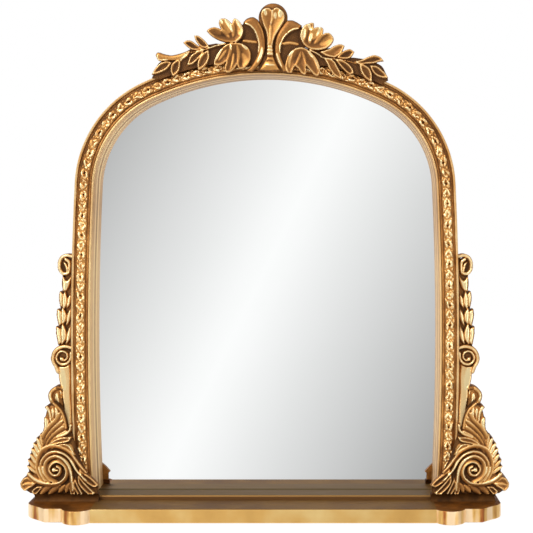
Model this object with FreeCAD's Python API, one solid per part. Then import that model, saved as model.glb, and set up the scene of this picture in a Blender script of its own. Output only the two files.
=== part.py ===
"""Table mirror: a gilded arched frame with a crest, standing on its own shelf base.

Millimetres. +X is to the right, the front faces -Y, +Z is up. The origin is the centre of the
base's underside. Each sub-part is written to parts/NODE.step.
"""
import FreeCAD
import Part
import math
import os

V = FreeCAD.Vector

# Base: a straight shelf board between two shaped plinths, on felt
PLINTH_OUT = 36.5
PLINTH_IN = 24.5
BASE_DEPTH = 76.0
BASE_TOP = 13.4
BASE_EDGE = 1.0
FELT_T = 0.8
FELT_INSET = 6.0
BOW_HALF = 13.0
BOW_PROUD = 7.0
HOLLOW_SETBACK = 2.5
HOLLOW_LENGTH = 15.5
CORNER_LENGTH = 11.5
CORNER_SETBACK = 13.0
END_SETBACK = 24.0

# Sight line of the arch: two long side arcs, two shoulders and a crown, all tangent
SIGHT_HALF = 162.0
WIDEST_Z = 165.0
SIDE_R = 2900.0
SHOULDER_R = 91.0
CROWN_R = 249.0
SIGHT_TOP = 405.8

# Frame section, measured outward from the sight line and back from the lip
FACE_W = 17.0
SLIP_W = 2.5
SLIP_PROUD = 0.6
REVEAL = 22.8
GLASS_SETBACK = 55.6
BAND_IN = 4.0
BAND_W = 8.4
BAND_PROUD = 1.8
BAND_ROUND = 2.6
BAND_SEAM = 0.2
CHANNEL_DEPTH = 2.0
GROOVE_W = 2.2
GROOVE_DEPTH = 2.6
REBATE = 6.0
REBATE_GAP = 0.5

# Glass and what is behind it
GLASS_T = 3.0
CARD_T = 1.0
BOARD_T = 3.0

# Bottom rail, the ledge in front of the foot of the glass
RAIL_H = 3.9
RAIL_ROUND = 1.5
RAIL_GAP = 0.1

# Foot blocks under the acanthus feet, hollowed by a scotia
BLOCK_H = 7.1
BLOCK_IN = 27.0
BLOCK_OUT = 33.5
BLOCK_FRONT = 6.5
BLOCK_BACK = 20.0
SCOTIA_R = 6.0
SCOTIA_DEPTH = 2.0

# Carved work: how far it stands in front of the frame, and how far its backs run down the sides
CARVING_GAP = 0.3
FOOT_T = 5.6
CREST_T = 2.2
CREST_BACK_T = 9.0
CREST_X = 4.0
SIDE_FRONT = 3.0
SIDE_BACK = 16.0
SIDE_WEB = 9.0

# Fasteners
SCREW_D = 3.0
SCREW_HEAD_D = 6.4
SCREW_HEAD_H = 2.0
STILE_SCREW_L = 34.0
STILE_SCREW_SPAN = 14.0
FOOT_SCREW_L = 32.0
FOOT_SCREW_OUT = 8.0
CREST_SCREW_BITE = 2.4
BOARD_DOWEL_D = 6.0
BOARD_DOWEL_L = 30.0
BOARD_DOWEL_SPAN = 52.0
FRAME_DOWEL_D = 4.0
FRAME_DOWEL_L = 30.0

# Turn buttons on the back of the frame
BUTTON_L = 26.0
BUTTON_W = 10.0
BUTTON_T = 1.5
BUTTON_GAP = 0.2
BUTTON_BORE_GAP = 0.1
BUTTON_SCREW_L = 12.0
BUTTON_HEIGHTS = (95.0, 245.0)
BUTTON_CROWN_ANGLE = 17.0

# Derived places
FRAME_HALF = SIGHT_HALF + FACE_W
FRAME_TOP = SIGHT_TOP + FACE_W
BASE_HALF = FRAME_HALF + PLINTH_OUT
BOARD_HALF = FRAME_HALF - PLINTH_IN
BLOCK_INNER = FRAME_HALF - BLOCK_IN
BLOCK_OUTER = FRAME_HALF + BLOCK_OUT
BASE_FRONT = -BASE_DEPTH / 2
BASE_BACK = BASE_DEPTH / 2
GLASS_Y = BASE_FRONT + GLASS_SETBACK
LIP_Y = GLASS_Y - REVEAL
BACK_Y = GLASS_Y + GLASS_T + CARD_T + BOARD_T
BAND_Y = LIP_Y - BAND_PROUD
CARVING_Y = BAND_Y - CARVING_GAP
BLOCK_TOP = BASE_TOP + BLOCK_H
PIVOT_OUT = (REBATE + FACE_W) / 2
CROWN_C = (0.0, SIGHT_TOP - CROWN_R)
SIDE_C = (SIGHT_HALF - SIDE_R, WIDEST_Z)


# Plane geometry in X and Z

def arc(a, middle, b):
    """Arc edge in the XZ plane through three (x, z) points."""
    return Part.Arc(*(V(x, 0, z) for x, z in (a, middle, b))).toShape()


def line(a, b):
    """Straight edge in the XZ plane."""
    return Part.makeLine(V(a[0], 0, a[1]), V(b[0], 0, b[1]))


def outline(start, *legs):
    """Closed outline: a leg is an end point, or an arc's middle point and end point."""
    edges = []
    here = start
    closing = () if legs[-1][-2:] == start else (start,)
    for leg in legs + closing:
        end = leg[-2:]
        if len(leg) == 4:
            edges.append(arc(here, leg[:2], end))
        else:
            edges.append(line(here, end))
        here = end
    return edges


def prism(edges, front, back):
    """Solid between two Y planes with the given XZ outline."""
    face = Part.Face(Part.Wire(edges))
    face.translate(V(0, front, 0))
    return face.extrude(V(0, back - front, 0))


def box(low, high):
    """Box between two corners."""
    size = V(*high) - V(*low)
    return Part.makeBox(size.x, size.y, size.z, V(*low))


def along(centre, towards, distance):
    """Point at a distance from centre in the direction of another point."""
    dx, dz = towards[0] - centre[0], towards[1] - centre[1]
    length = math.hypot(dx, dz)
    return (centre[0] + dx / length * distance, centre[1] + dz / length * distance)


def shoulder_centre():
    """Centre of the shoulder arc, inside both the crown circle and the side circle."""
    r1, r2 = CROWN_R - SHOULDER_R, SIDE_R - SHOULDER_R
    dx, dz = SIDE_C[0] - CROWN_C[0], SIDE_C[1] - CROWN_C[1]
    gap = math.hypot(dx, dz)
    reach = (r1 ** 2 - r2 ** 2 + gap ** 2) / (2 * gap)
    rise = math.sqrt(r1 ** 2 - reach ** 2)
    foot = (CROWN_C[0] + dx / gap * reach, CROWN_C[1] + dz / gap * reach)
    return (foot[0] + dz / gap * rise, foot[1] - dx / gap * rise)


SHOULDER_C = shoulder_centre()


def side_x(offset, z):
    """X of the right side at a height, a distance outside the sight line."""
    return SIDE_C[0] + math.sqrt((SIDE_R + offset) ** 2 - (z - WIDEST_Z) ** 2)


def crown_point(offset, x):
    """Point of the crown arc at a given X, a distance outside the sight line."""
    return (x, CROWN_C[1] + math.sqrt((CROWN_R + offset) ** 2 - x ** 2))


def arch(offset, bottom):
    """Closed outline of the arch, a distance outside the sight line."""
    foot = (side_x(offset, bottom), bottom)
    spring = along(SIDE_C, SHOULDER_C, SIDE_R + offset)
    haunch = along(CROWN_C, SHOULDER_C, CROWN_R + offset)
    middle_z = (bottom + spring[1]) / 2
    side_middle = (side_x(offset, middle_z), middle_z)
    chord = ((spring[0] + haunch[0]) / 2, (spring[1] + haunch[1]) / 2)
    shoulder_middle = along(SHOULDER_C, chord, SHOULDER_R + offset)

    def left(point):
        return (-point[0], point[1])

    top = (0.0, SIGHT_TOP + offset)
    return [
        line(left(foot), foot),
        arc(foot, side_middle, spring),
        arc(spring, shoulder_middle, haunch),
        arc(haunch, top, left(haunch)),
        arc(left(haunch), left(shoulder_middle), left(spring)),
        arc(left(spring), left(side_middle), left(foot)),
    ]


def arch_slab(offset, front, back, bottom):
    """Solid slab with the arch's outline."""
    return prism(arch(offset, bottom), front, back)


def arch_ring(inner, outer, front, back, bottom=BASE_TOP):
    """Arched strip between two offsets, open at its foot."""
    hole = arch_slab(inner, front, back, bottom)
    return arch_slab(outer, front, back, bottom).cut(hole)


def left_of(shape):
    """Mirror image of a right-hand piece."""
    return shape.mirror(V(0, 0, 0), V(1, 0, 0))


def arch_sweep(section, bottom):
    """Section of (offset, y) edges swept round the arch from foot to foot."""
    spring = math.atan2(SHOULDER_C[1] - SIDE_C[1], SHOULDER_C[0] - SIDE_C[0])
    haunch = math.atan2(SHOULDER_C[1] - CROWN_C[1], SHOULDER_C[0] - CROWN_C[0])
    foot = -math.asin(WIDEST_Z / SIDE_R)
    spans = ((SIDE_C, SIDE_R, foot, spring), (SHOULDER_C, SHOULDER_R, spring, haunch),
             (CROWN_C, CROWN_R, haunch, math.pi / 2))
    pieces = []
    for centre, radius, start, end in spans:
        hub = V(centre[0], 0, centre[1])
        face = Part.Face(Part.Wire(section))
        face.translate(V(radius, 0, 0))
        face.rotate(V(0, 0, 0), V(0, 1, 0), -math.degrees(start))
        face.translate(hub)
        pieces.append(face.revolve(hub, V(0, -1, 0), math.degrees(end - start)))
    half = pieces[0].multiFuse(pieces[1:])
    whole = half.fuse(left_of(half)).removeSplitter()
    return whole.cut(box((-BASE_HALF, BASE_FRONT, -BASE_TOP), (BASE_HALF, BASE_BACK, bottom)))


def rod(point, direction, length, diameter):
    """Cylinder from a point along a direction."""
    return Part.makeCylinder(diameter / 2, length, V(*point), V(*direction))


def screw(point, direction, length):
    """Screw: a flat head that starts at the point, and its shank."""
    head = rod(point, direction, SCREW_HEAD_H, SCREW_HEAD_D)
    return head.fuse(rod(point, direction, length, SCREW_D)).removeSplitter()


def edges_on(shape, axis, value):
    """Edges of a shape that lie in the plane where an axis has a value."""
    low, high = axis + "Min", axis + "Max"
    return [e for e in shape.Edges
            if abs(getattr(e.BoundBox, low) - value) < 1e-4
            and abs(getattr(e.BoundBox, high) - value) < 1e-4]


def group(solids):
    """Like pieces that share one node as separate solids."""
    return Part.makeCompound(solids)


# Carving elements, all built on a back plane and swelling towards the front

def leaf(base, tip, width, back):
    """Pointed leaf: half of a spindle, flat at the back."""
    dx, dz = tip[0] - base[0], tip[1] - base[1]
    length = math.hypot(dx, dz)
    bow = Part.Arc(V(0, 0, 0), V(length / 2, width / 2, 0), V(length, 0, 0)).toShape()
    chord = Part.makeLine(V(length, 0, 0), V(0, 0, 0))
    half = Part.Face(Part.Wire([bow, chord]))
    solid = half.revolve(V(0, 0, 0), V(1, 0, 0), 180)
    turn = FreeCAD.Rotation(V(dx, 0, dz), V(-dz, 0, dx), V(0, -1, 0), "XZY")
    solid.Placement = FreeCAD.Placement(V(base[0], back, base[1]), turn)
    return solid


def ridge(edges, width, y):
    """Round ridge swept along tangent arcs that lie in one Y plane."""
    path = Part.Wire(edges)
    path.translate(V(0, y, 0))
    first = path.OrderedEdges[0]
    start = first.valueAt(first.FirstParameter)
    tangent = first.tangentAt(first.FirstParameter)
    section = Part.Wire(Part.makeCircle(width / 2, start, tangent))
    return path.makePipeShell([section], True, False)


def spiral(centre, radius, eye, turns, start_angle, hand):
    """Half-circle edges of a scroll that winds in from radius to eye."""
    halves = round(2 * turns)
    step = (radius - eye) / halves
    angle = math.radians(start_angle)
    out = (math.cos(angle), math.sin(angle))
    across = (-out[1] * hand, out[0] * hand)
    point = (centre[0] + out[0] * radius, centre[1] + out[1] * radius)
    edges = []
    sign = 1
    for half in range(halves):
        r = radius - step * (half + 0.5)
        hub = (point[0] - sign * out[0] * r, point[1] - sign * out[1] * r)
        middle = (hub[0] + sign * across[0] * r, hub[1] + sign * across[1] * r)
        end = (hub[0] - sign * out[0] * r, hub[1] - sign * out[1] * r)
        edges.append(arc(point, middle, end))
        point = end
        sign = -sign
    return edges


def disc(centre, radius, front, back):
    """Round plate facing the front."""
    return rod((centre[0], back, centre[1]), (0, -1, 0), back - front, 2 * radius)


def carve(ground, *raised):
    """One carved piece: its ground with the raised work grown onto it."""
    return ground.multiFuse(list(raised)).removeSplitter()


# Base

def plinth():
    """Right-hand end of the base: bowed front, flat hollow, canted corner and round end."""
    bow_mid = BOARD_HALF + BOW_HALF
    bow_end = BOARD_HALF + 2 * BOW_HALF
    hollow_y = BASE_FRONT + HOLLOW_SETBACK
    hollow_end = bow_end + HOLLOW_LENGTH
    corner_x = hollow_end + CORNER_LENGTH
    corner_y = BASE_FRONT + CORNER_SETBACK
    end_y = BASE_FRONT + END_SETBACK
    turn_x = BASE_HALF - (BASE_HALF - corner_x) * 0.3
    plan = outline(
        (BOARD_HALF, BASE_FRONT),
        (bow_mid, BASE_FRONT - BOW_PROUD, bow_end, hollow_y),
        (hollow_end, hollow_y),
        (corner_x, corner_y),
        (turn_x, (corner_y + end_y) / 2, BASE_HALF, end_y),
        (BASE_HALF, BASE_BACK),
        (BOARD_HALF, BASE_BACK),
    )
    face = Part.Face(Part.Wire(plan))
    face.rotate(V(0, 0, 0), V(1, 0, 0), -90)
    face.translate(V(0, 0, FELT_T))
    block = face.extrude(V(0, 0, BASE_TOP - FELT_T))
    soft = [e for z in (FELT_T, BASE_TOP) for e in edges_on(block, "Z", z)
            if e.BoundBox.XMax > BOARD_HALF + BASE_EDGE]
    soft = [e for e in soft if e.BoundBox.YMin < BASE_BACK - BASE_EDGE]
    return block.makeFillet(BASE_EDGE, soft)


def shelf_board():
    """Straight middle of the base."""
    board = box((-BOARD_HALF, BASE_FRONT, FELT_T), (BOARD_HALF, BASE_BACK, BASE_TOP))
    front = [e for e in edges_on(board, "Y", BASE_FRONT) if e.BoundBox.XLength > BASE_EDGE]
    return board.makeFillet(BASE_EDGE, front)


def base_felt():
    """Felt sheet under the base, inside its edge."""
    half = BASE_HALF - END_SETBACK
    return box((-half, BASE_FRONT + FELT_INSET, 0), (half, BASE_BACK - FELT_INSET, FELT_T))


def foot_block():
    """Right-hand block under the acanthus foot, wrapped round the foot of the stile."""
    seat = LIP_Y - SLIP_PROUD
    front = seat - BLOCK_FRONT
    back = LIP_Y + BLOCK_BACK
    low, high = BASE_TOP, BLOCK_TOP
    block = box((BLOCK_INNER, front, low), (BLOCK_OUTER, back, high))
    block = block.cut(box((BLOCK_INNER, seat, low), (side_x(FACE_W, low), back, high)))
    block = block.cut(arch_slab(FACE_W, seat, back, low))
    neck_z = (low + high) / 2
    sink = SCOTIA_R - SCOTIA_DEPTH
    front_neck = rod((BLOCK_INNER, front - sink, neck_z), (1, 0, 0),
                     BLOCK_OUTER - BLOCK_INNER, 2 * SCOTIA_R)
    end_neck = rod((BLOCK_OUTER + sink, front, neck_z), (0, 1, 0), back - front, 2 * SCOTIA_R)
    return block.cut(front_neck).cut(end_neck)


# Frame

def frame_moulding():
    """Whole frame moulding, before it is parted into stiles and arch head."""
    ring = arch_ring(SLIP_W, FACE_W, LIP_Y, BACK_Y)
    ring = ring.cut(arch_slab(REBATE, GLASS_Y, BACK_Y, BASE_TOP))
    channel_out = BAND_IN + BAND_W
    ring = ring.cut(arch_ring(BAND_IN, channel_out, LIP_Y, LIP_Y + CHANNEL_DEPTH))
    groove_out = channel_out + GROOVE_W
    return ring.cut(arch_ring(channel_out, groove_out, LIP_Y, LIP_Y + GROOVE_DEPTH))


def rosette_band():
    """Running band on the face of the frame, rounded at both edges."""
    inner, outer = BAND_IN + BAND_SEAM, BAND_IN + BAND_W - BAND_SEAM
    back, shoulder = LIP_Y + CHANNEL_DEPTH, BAND_Y + BAND_ROUND
    ease = BAND_ROUND * (1 - math.sqrt(0.5))
    points = [V(x, y, 0) for x, y in (
        (inner, back), (inner, shoulder), (inner + ease, BAND_Y + ease),
        (inner + BAND_ROUND, BAND_Y), (outer - BAND_ROUND, BAND_Y),
        (outer - ease, BAND_Y + ease), (outer, shoulder), (outer, back))]
    section = [Part.makeLine(points[0], points[1]),
               Part.Arc(*points[1:4]).toShape(),
               Part.makeLine(points[3], points[4]),
               Part.Arc(*points[4:7]).toShape(),
               Part.makeLine(points[6], points[7]),
               Part.makeLine(points[7], points[0])]
    return arch_sweep(section, BLOCK_TOP)


def slip():
    """Smooth liner from the lip back to the glass."""
    return arch_ring(0.0, SLIP_W, LIP_Y - SLIP_PROUD, GLASS_Y)


def pane(front, thickness):
    """Arched sheet in the rebate: glass, card or board."""
    return arch_slab(REBATE - REBATE_GAP, front, front + thickness, BASE_TOP)


def bottom_rail():
    """Ledge between the slips, in front of the foot of the glass."""
    half = min(side_x(0.0, BASE_TOP), side_x(0.0, BASE_TOP + RAIL_H)) - RAIL_GAP
    rail = box((-half, LIP_Y, BASE_TOP), (half, GLASS_Y, BASE_TOP + RAIL_H))
    nose = [e for e in edges_on(rail, "Y", LIP_Y)
            if e.BoundBox.ZMin > BASE_TOP + RAIL_H / 2 and e.BoundBox.XLength > RAIL_H]
    return rail.makeFillet(RAIL_ROUND, nose)


# Side carving, drawn for the right-hand side from the outer face of the frame and the top of
# the foot block, then seated there

FOOT_SHANK_H = 57.0
BRACKET_H = 79.4
HUSK_H = 79.0
CARVING_SEAM = 0.1
INTO_FRAME = -9.0


def seated(shape):
    """Side carving moved from its own coordinates to its place."""
    return shape.translated(V(FRAME_HALF, 0, BLOCK_TOP))


def husk_drop(frame_side):
    """Loop scroll and four bellflowers on a web that lies against the stile."""
    foot = FOOT_SHANK_H + BRACKET_H + CARVING_SEAM
    top = foot + HUSK_H
    front, web_y, back = LIP_Y + SIDE_FRONT, LIP_Y + SIDE_WEB, LIP_Y + SIDE_BACK
    axis = 5.3
    loop = (5.0, top - 6.0)
    loop_r = 5.6
    husk_h = 17.5
    husk_rise = 15.7
    web = prism(outline((INTO_FRAME, foot), (9.0, foot), (8.0, top), (INTO_FRAME, top)),
                web_y, back)
    core = prism(outline((2.5, foot), (8.0, foot), (7.0, top - 8.0), (3.0, top - 8.0)),
                 front, web_y)
    raised = [core, disc(loop, loop_r, front, web_y),
              Part.makeTorus(loop_r, 1.4, V(loop[0], front, loop[1]), V(0, 1, 0))]
    for number in range(4):
        base = (axis, foot + husk_rise * number)
        spread = 6.6 - 0.8 * number
        for lean in (-0.9, 0.15, 1.0):
            tip = (axis + spread * lean, base[1] + husk_h)
            raised.append(leaf(base, tip, 5.0, front + 0.6))
    return seated(carve(web, *raised)).cut(frame_side)


def scroll_bracket(frame_side):
    """Small volute over a plain curved strip."""
    foot = FOOT_SHANK_H
    top = foot + BRACKET_H
    front, back = LIP_Y + SIDE_FRONT, LIP_Y + SIDE_BACK
    centre = (7.0, top - 11.5)
    radius = 8.6
    curl = (12.6, foot + 31.0)
    web = prism(outline((INTO_FRAME, foot), (2.0, foot), (4.6, foot + 14.5, 7.5, foot + 34.5),
                        (10.5, foot + 48.5, 15.6, centre[1]), (13.0, top - 5.5, 7.0, top),
                        (INTO_FRAME, top)), front, back)
    scroll = ridge(spiral(centre, radius - 0.9, 2.0, 1.5, -40, 1), 1.8, front)
    curl_ring = Part.makeTorus(3.6, 1.5, V(curl[0], front + 1.6, curl[1]), V(0, 1, 0))
    curl_stem = disc((curl[0] - 2.0, curl[1]), 5.0, front + 1.6, front + 6.0)
    eye = disc(centre, 2.4, front - 1.2, front + 1.0)
    return seated(carve(web, scroll, curl_ring, curl_stem, eye)).cut(frame_side)


def acanthus_foot(frame_side):
    """Large volute with a serrated leaf climbing the bracket and toes fanned on the block."""
    front = CARVING_Y - FOOT_T
    top = FOOT_SHANK_H
    hub = (12.2, 22.8)
    body = outline(
        (28.0, 0.0), (35.0, 3.5, 42.0, 7.5), (37.5, 15.5), (36.6, 25.5, 33.0, 37.5),
        (25.5, top - 3.5), (22.5, top + 8.5), (20.5, top + 19.5), (13.5, top + 17.5),
        (9.0, top + 6.5), (6.0, top), (-1.5, top - 4.0), (-6.5, 39.5, -15.0, 22.5),
        (-26.5, 8.0), (-27.0, 3.0), (-23.5, 0.0))
    plate = prism(body, front, CARVING_Y)
    above = box((-BLOCK_IN, CARVING_Y, top), (BLOCK_OUT, LIP_Y + SIDE_BACK, top + BRACKET_H))
    shank = seated(prism(body, CARVING_Y, LIP_Y + SIDE_BACK).cut(above)).cut(frame_side)
    scroll = ridge(spiral(hub, 17.6, 3.0, 2.5, 60, 1), 3.2, front)
    eye = disc(hub, 3.2, front - 2.2, front)
    sweep = ridge([arc((14.0, 41.5), (-3.0, 34.0), (-22.0, 6.5))], 3.0, front)
    fringe = [leaf((23.0, 19.5 + 2.0 * n), (38.4 - 1.9 * n, 17.0 + 8.0 * n), 6.5, front)
              for n in range(5)]
    climbers = [leaf((10.5, top - 9.5), (20.5, top + 21.5), 8.0, front),
                leaf((13.0, top - 14.5), (23.5, top + 10.5), 7.0, front),
                leaf((7.0, top - 15.5), (-1.2, top - 4.5), 6.0, front)]
    toes = [leaf((-3.0, 16.5), tip, 5.0, front)
            for tip in ((-4.2, 0.5), (-11.0, 0.5), (-18.5, 0.5), (-26.4, 5.5))]
    heel = leaf((24.0, 7.0), (43.5, 9.5), 7.0, front)
    face = carve(plate, scroll, eye, sweep, heel, *(fringe + climbers + toes))
    return carve(seated(face), shank)


# Crest, drawn from its own axis and the top of the frame's outer rim, then seated there

LEFT_LEAVES = (
    ((-35.0, 10.1), (-57.8, 19.4), 11.0), ((-35.9, 11.0), (-46.0, 30.6), 10.0),
    ((-31.4, 9.2), (-32.3, 31.9), 10.5), ((-35.9, 8.2), (-48.7, -11.8), 9.5),
    ((-35.9, 8.2), (-39.6, -16.8), 10.0), ((-34.0, 8.2), (-25.0, -13.6), 12.0),
    ((-55.5, 4.2), (-69.3, 14.9), 5.5), ((-61.6, 1.8), (-79.0, 9.6), 6.0),
    ((-56.0, 2.2), (-65.0, -16.5), 7.5), ((-66.5, 1.0), (-74.8, -10.8), 6.5),
    ((-82.0, -5.3), (-88.7, -21.3), 6.5), ((-75.0, -2.3), (-103.3, -1.8), 7.0),
    ((-88.0, -8.5), (-106.8, -19.2), 7.5))
RIGHT_LEAVES = (
    ((37.8, 2.8), (30.5, 25.5), 10.0), ((38.7, 2.8), (45.0, 22.8), 10.0),
    ((40.5, 2.8), (56.9, 13.7), 11.0), ((27.8, 4.6), (15.9, -18.1), 11.0),
    ((27.8, 4.6), (29.6, -19.9), 11.0), ((29.0, 4.6), (44.1, -19.9), 12.0),
    ((49.3, -2.5), (66.7, 6.1), 6.0), ((59.9, -6.0), (75.7, 0.8), 6.0),
    ((50.0, -3.8), (63.7, -23.4), 8.0), ((60.6, -6.3), (74.3, -18.8), 6.5),
    ((80.0, -10.0), (102.9, -7.2), 7.0), ((86.0, -11.3), (106.7, -23.4), 8.0),
    ((81.8, -11.0), (92.4, -26.4), 6.5))
LEFT_STEM = ((-38.0, 7.7), (-60.0, 2.2), (-91.0, -9.8))
RIGHT_STEM = ((36.0, 1.7), (60.0, -6.0), (90.0, -12.8))
LEFT_SCROLL = ((-21.7, 24.7), (-10.0, 6.5), (-17.5, -13.3))
RIGHT_SCROLL = ((23.5, 21.7), (9.0, 5.2), (12.5, -15.8))
CREST_SCREW_PLACES = ((-34.0, 7.2), (0.0, 13.2), (34.0, 5.2))
CREST_REACH = 97.0
CREST_RISE = 25.2
STEM_HALF = 8.0
KNOB_R = 12.6
KNOB_UP = 32.7
LOBE_W = 9.0
RING_W = 8.0
RING_D = 3.2


def crested(shape):
    """Crest piece moved from its own coordinates to its place."""
    return shape.translated(V(CREST_X, 0, FRAME_TOP))


def crest_ground(hand, inner, lift, front, back):
    """Ground behind one side of the crest, from a line near its axis out to its tip."""
    def low(out):
        return (hand * out, crown_point(lift, hand * out + CREST_X)[1] - FRAME_TOP)

    tip = low(CREST_REACH)
    return prism(outline(
        low(inner), low((inner + CREST_REACH) / 2) + tip, (tip[0], tip[1] + 4.0),
        (hand * 78.0, -5.8), (hand * 56.0, 2.7), (hand * 40.0, 11.2), (hand * 24.0, 21.2),
        (hand * inner, CREST_RISE)), front, back)


def crest_spray(hand, leaves, stem, scroll):
    """One spray of leaves with the C-scroll that it springs from."""
    front = CARVING_Y - CREST_T
    ground = crest_ground(hand, STEM_HALF + CREST_T, BAND_IN, front, CARVING_Y)
    raised = [leaf(base, tip, width, front + CREST_T / 2) for base, tip, width in leaves]
    raised.append(ridge([arc(*stem)], 2.6, front))
    raised.append(ridge([arc(*scroll)], 4.0, front - 1.0))
    return crested(carve(ground, *raised)).cut(CREST_SCREWS)


def cartouche():
    """Heart-headed centre of the crest: a tapering stem with three rings on a flared foot."""
    front = CARVING_Y - 2 * CREST_T
    heart = prism(outline(
        (-STEM_HALF, -18.3), (0.0, -19.8, STEM_HALF, -18.3), (7.0, -14.3), (2.8, -8.8),
        (2.6, 6.2), (6.5, 17.2, 11.2, 31.2), (8.5, 40.2, 0.0, 37.2), (-8.5, 40.2, -11.2, 31.2),
        (-6.5, 17.2, -2.6, 6.2), (-2.8, -8.8), (-7.0, -14.3)), front, CARVING_Y)
    knob = disc((0.0, KNOB_UP), KNOB_R, CARVING_Y, CARVING_Y + CREST_BACK_T)
    lobes = [leaf((side * 1.5, 11.2), (side * 7.5, KNOB_UP + 6.0), LOBE_W, front + CREST_T / 2)
             for side in (-1, 1)]
    rings = [rod((-RING_W / 2, front, up), (1, 0, 0), RING_W, RING_D)
             for up in (-7.3, -2.3, 2.7)]
    return crested(carve(heart, knob, *(lobes + rings)))


def crest_backplate(frame_top, heart):
    """Ground plate of the crest, standing on the crown of the frame behind the leaves."""
    back = CARVING_Y + CREST_BACK_T
    halves = [crest_ground(hand, 0.0, BAND_IN, CARVING_Y, back) for hand in (-1, 1)]
    plate = crested(halves[0].fuse(halves[1]).removeSplitter())
    return plate.cut(frame_top).cut(heart).cut(CREST_SCREWS)


# Fasteners and turn buttons

def button_places():
    """Pivot and inward direction of each turn button, as (x, z) pairs."""
    places = []
    for hand in (-1, 1):
        for z in BUTTON_HEIGHTS:
            places.append(((hand * side_x(PIVOT_OUT, z), z), (-hand, 0.0)))
        lean = math.radians(BUTTON_CROWN_ANGLE) * hand
        out = (math.sin(lean), math.cos(lean))
        reach = CROWN_R + PIVOT_OUT
        pivot = (CROWN_C[0] + out[0] * reach, CROWN_C[1] + out[1] * reach)
        places.append((pivot, (-out[0], -out[1])))
    return places


def turn_button(pivot, inward):
    """Flat stadium plate on its screw, with its tongue over the backing board."""
    front = BACK_Y + BUTTON_GAP
    r = BUTTON_W / 2
    reach = BUTTON_L - BUTTON_W
    across = (-inward[1], inward[0])

    def at(out, side):
        return tuple(pivot[k] + inward[k] * out + across[k] * side for k in (0, 1))

    plate = prism(outline(at(0, -r), at(reach, -r), at(reach + r, 0) + at(reach, r),
                          at(0, r), at(-r, 0) + at(0, -r)), front, front + BUTTON_T)
    bore = rod((pivot[0], front, pivot[1]), (0, 1, 0), BUTTON_T, SCREW_D + 2 * BUTTON_BORE_GAP)
    return plate.cut(bore)


def button_screw(pivot):
    """Round-head screw that a turn button pivots on."""
    top = BACK_Y + 2 * BUTTON_GAP + BUTTON_T + SCREW_HEAD_H
    return screw((pivot[0], top, pivot[1]), (0, -1, 0), BUTTON_SCREW_L)


def both_hands(solid):
    """A right-hand solid and its mirror image."""
    return [left_of(solid), solid]


PLACES = button_places()
BUTTON_SCREWS = group([button_screw(pivot) for pivot, inward in PLACES])

stile_x = side_x((REBATE + FACE_W) / 2, BASE_TOP)
stile_mid_y = (LIP_Y + BACK_Y) / 2
STILE_SCREWS = group([s for y in (-0.5, 0.5) for s in both_hands(screw(
    (stile_x, stile_mid_y + y * STILE_SCREW_SPAN, FELT_T), (0, 0, 1), STILE_SCREW_L))])
FOOT_SCREWS = group(both_hands(screw(
    (FRAME_HALF + FOOT_SCREW_OUT, CARVING_Y + CREST_BACK_T / 2, FELT_T), (0, 0, 1), FOOT_SCREW_L)))
BOARD_DOWELS = group([d for y in (-0.5, 0.5) for d in both_hands(rod(
    (BOARD_HALF - BOARD_DOWEL_L / 2, y * BOARD_DOWEL_SPAN, (FELT_T + BASE_TOP) / 2), (1, 0, 0),
    BOARD_DOWEL_L, BOARD_DOWEL_D))])
FRAME_DOWELS = group([d for y in (LIP_Y + REVEAL / 2, GLASS_Y - FRAME_DOWEL_D)
                      for d in both_hands(rod(
                          (side_x(PIVOT_OUT, WIDEST_Z), y, WIDEST_Z - FRAME_DOWEL_L / 2),
                          (0, 0, 1), FRAME_DOWEL_L, FRAME_DOWEL_D))])
crest_head_y = CARVING_Y + CREST_BACK_T + SCREW_HEAD_H
CREST_SCREWS = group([screw((CREST_X + out, crest_head_y, FRAME_TOP + up), (0, -1, 0),
                            crest_head_y - CARVING_Y + CREST_SCREW_BITE)
                      for out, up in CREST_SCREW_PLACES])

# The frame is one moulding, parted at its widest height
moulding = frame_moulding()
reach = BASE_HALF + FACE_W
cap = box((-reach, LIP_Y - 1, WIDEST_Z), (reach, BACK_Y + 1, SIGHT_TOP + 2 * FACE_W))
lower_right = box((0, LIP_Y - 1, BASE_TOP), (reach, BACK_Y + 1, WIDEST_Z))
arch_head = moulding.common(cap).cut(FRAME_DOWELS).cut(BUTTON_SCREWS)
stile = moulding.common(lower_right).cut(FRAME_DOWELS).cut(BUTTON_SCREWS).cut(STILE_SCREWS)

frame_side = arch_slab(FACE_W, LIP_Y - SLIP_PROUD - FOOT_T, BACK_Y, 0.0)
right_plinth = plinth().cut(BOARD_DOWELS).cut(STILE_SCREWS).cut(FOOT_SCREWS)
right_block = foot_block().cut(FOOT_SCREWS)
right_foot = acanthus_foot(frame_side).cut(FOOT_SCREWS)
right_husks = husk_drop(frame_side)
right_bracket = scroll_bracket(frame_side)
heart = cartouche()

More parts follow.
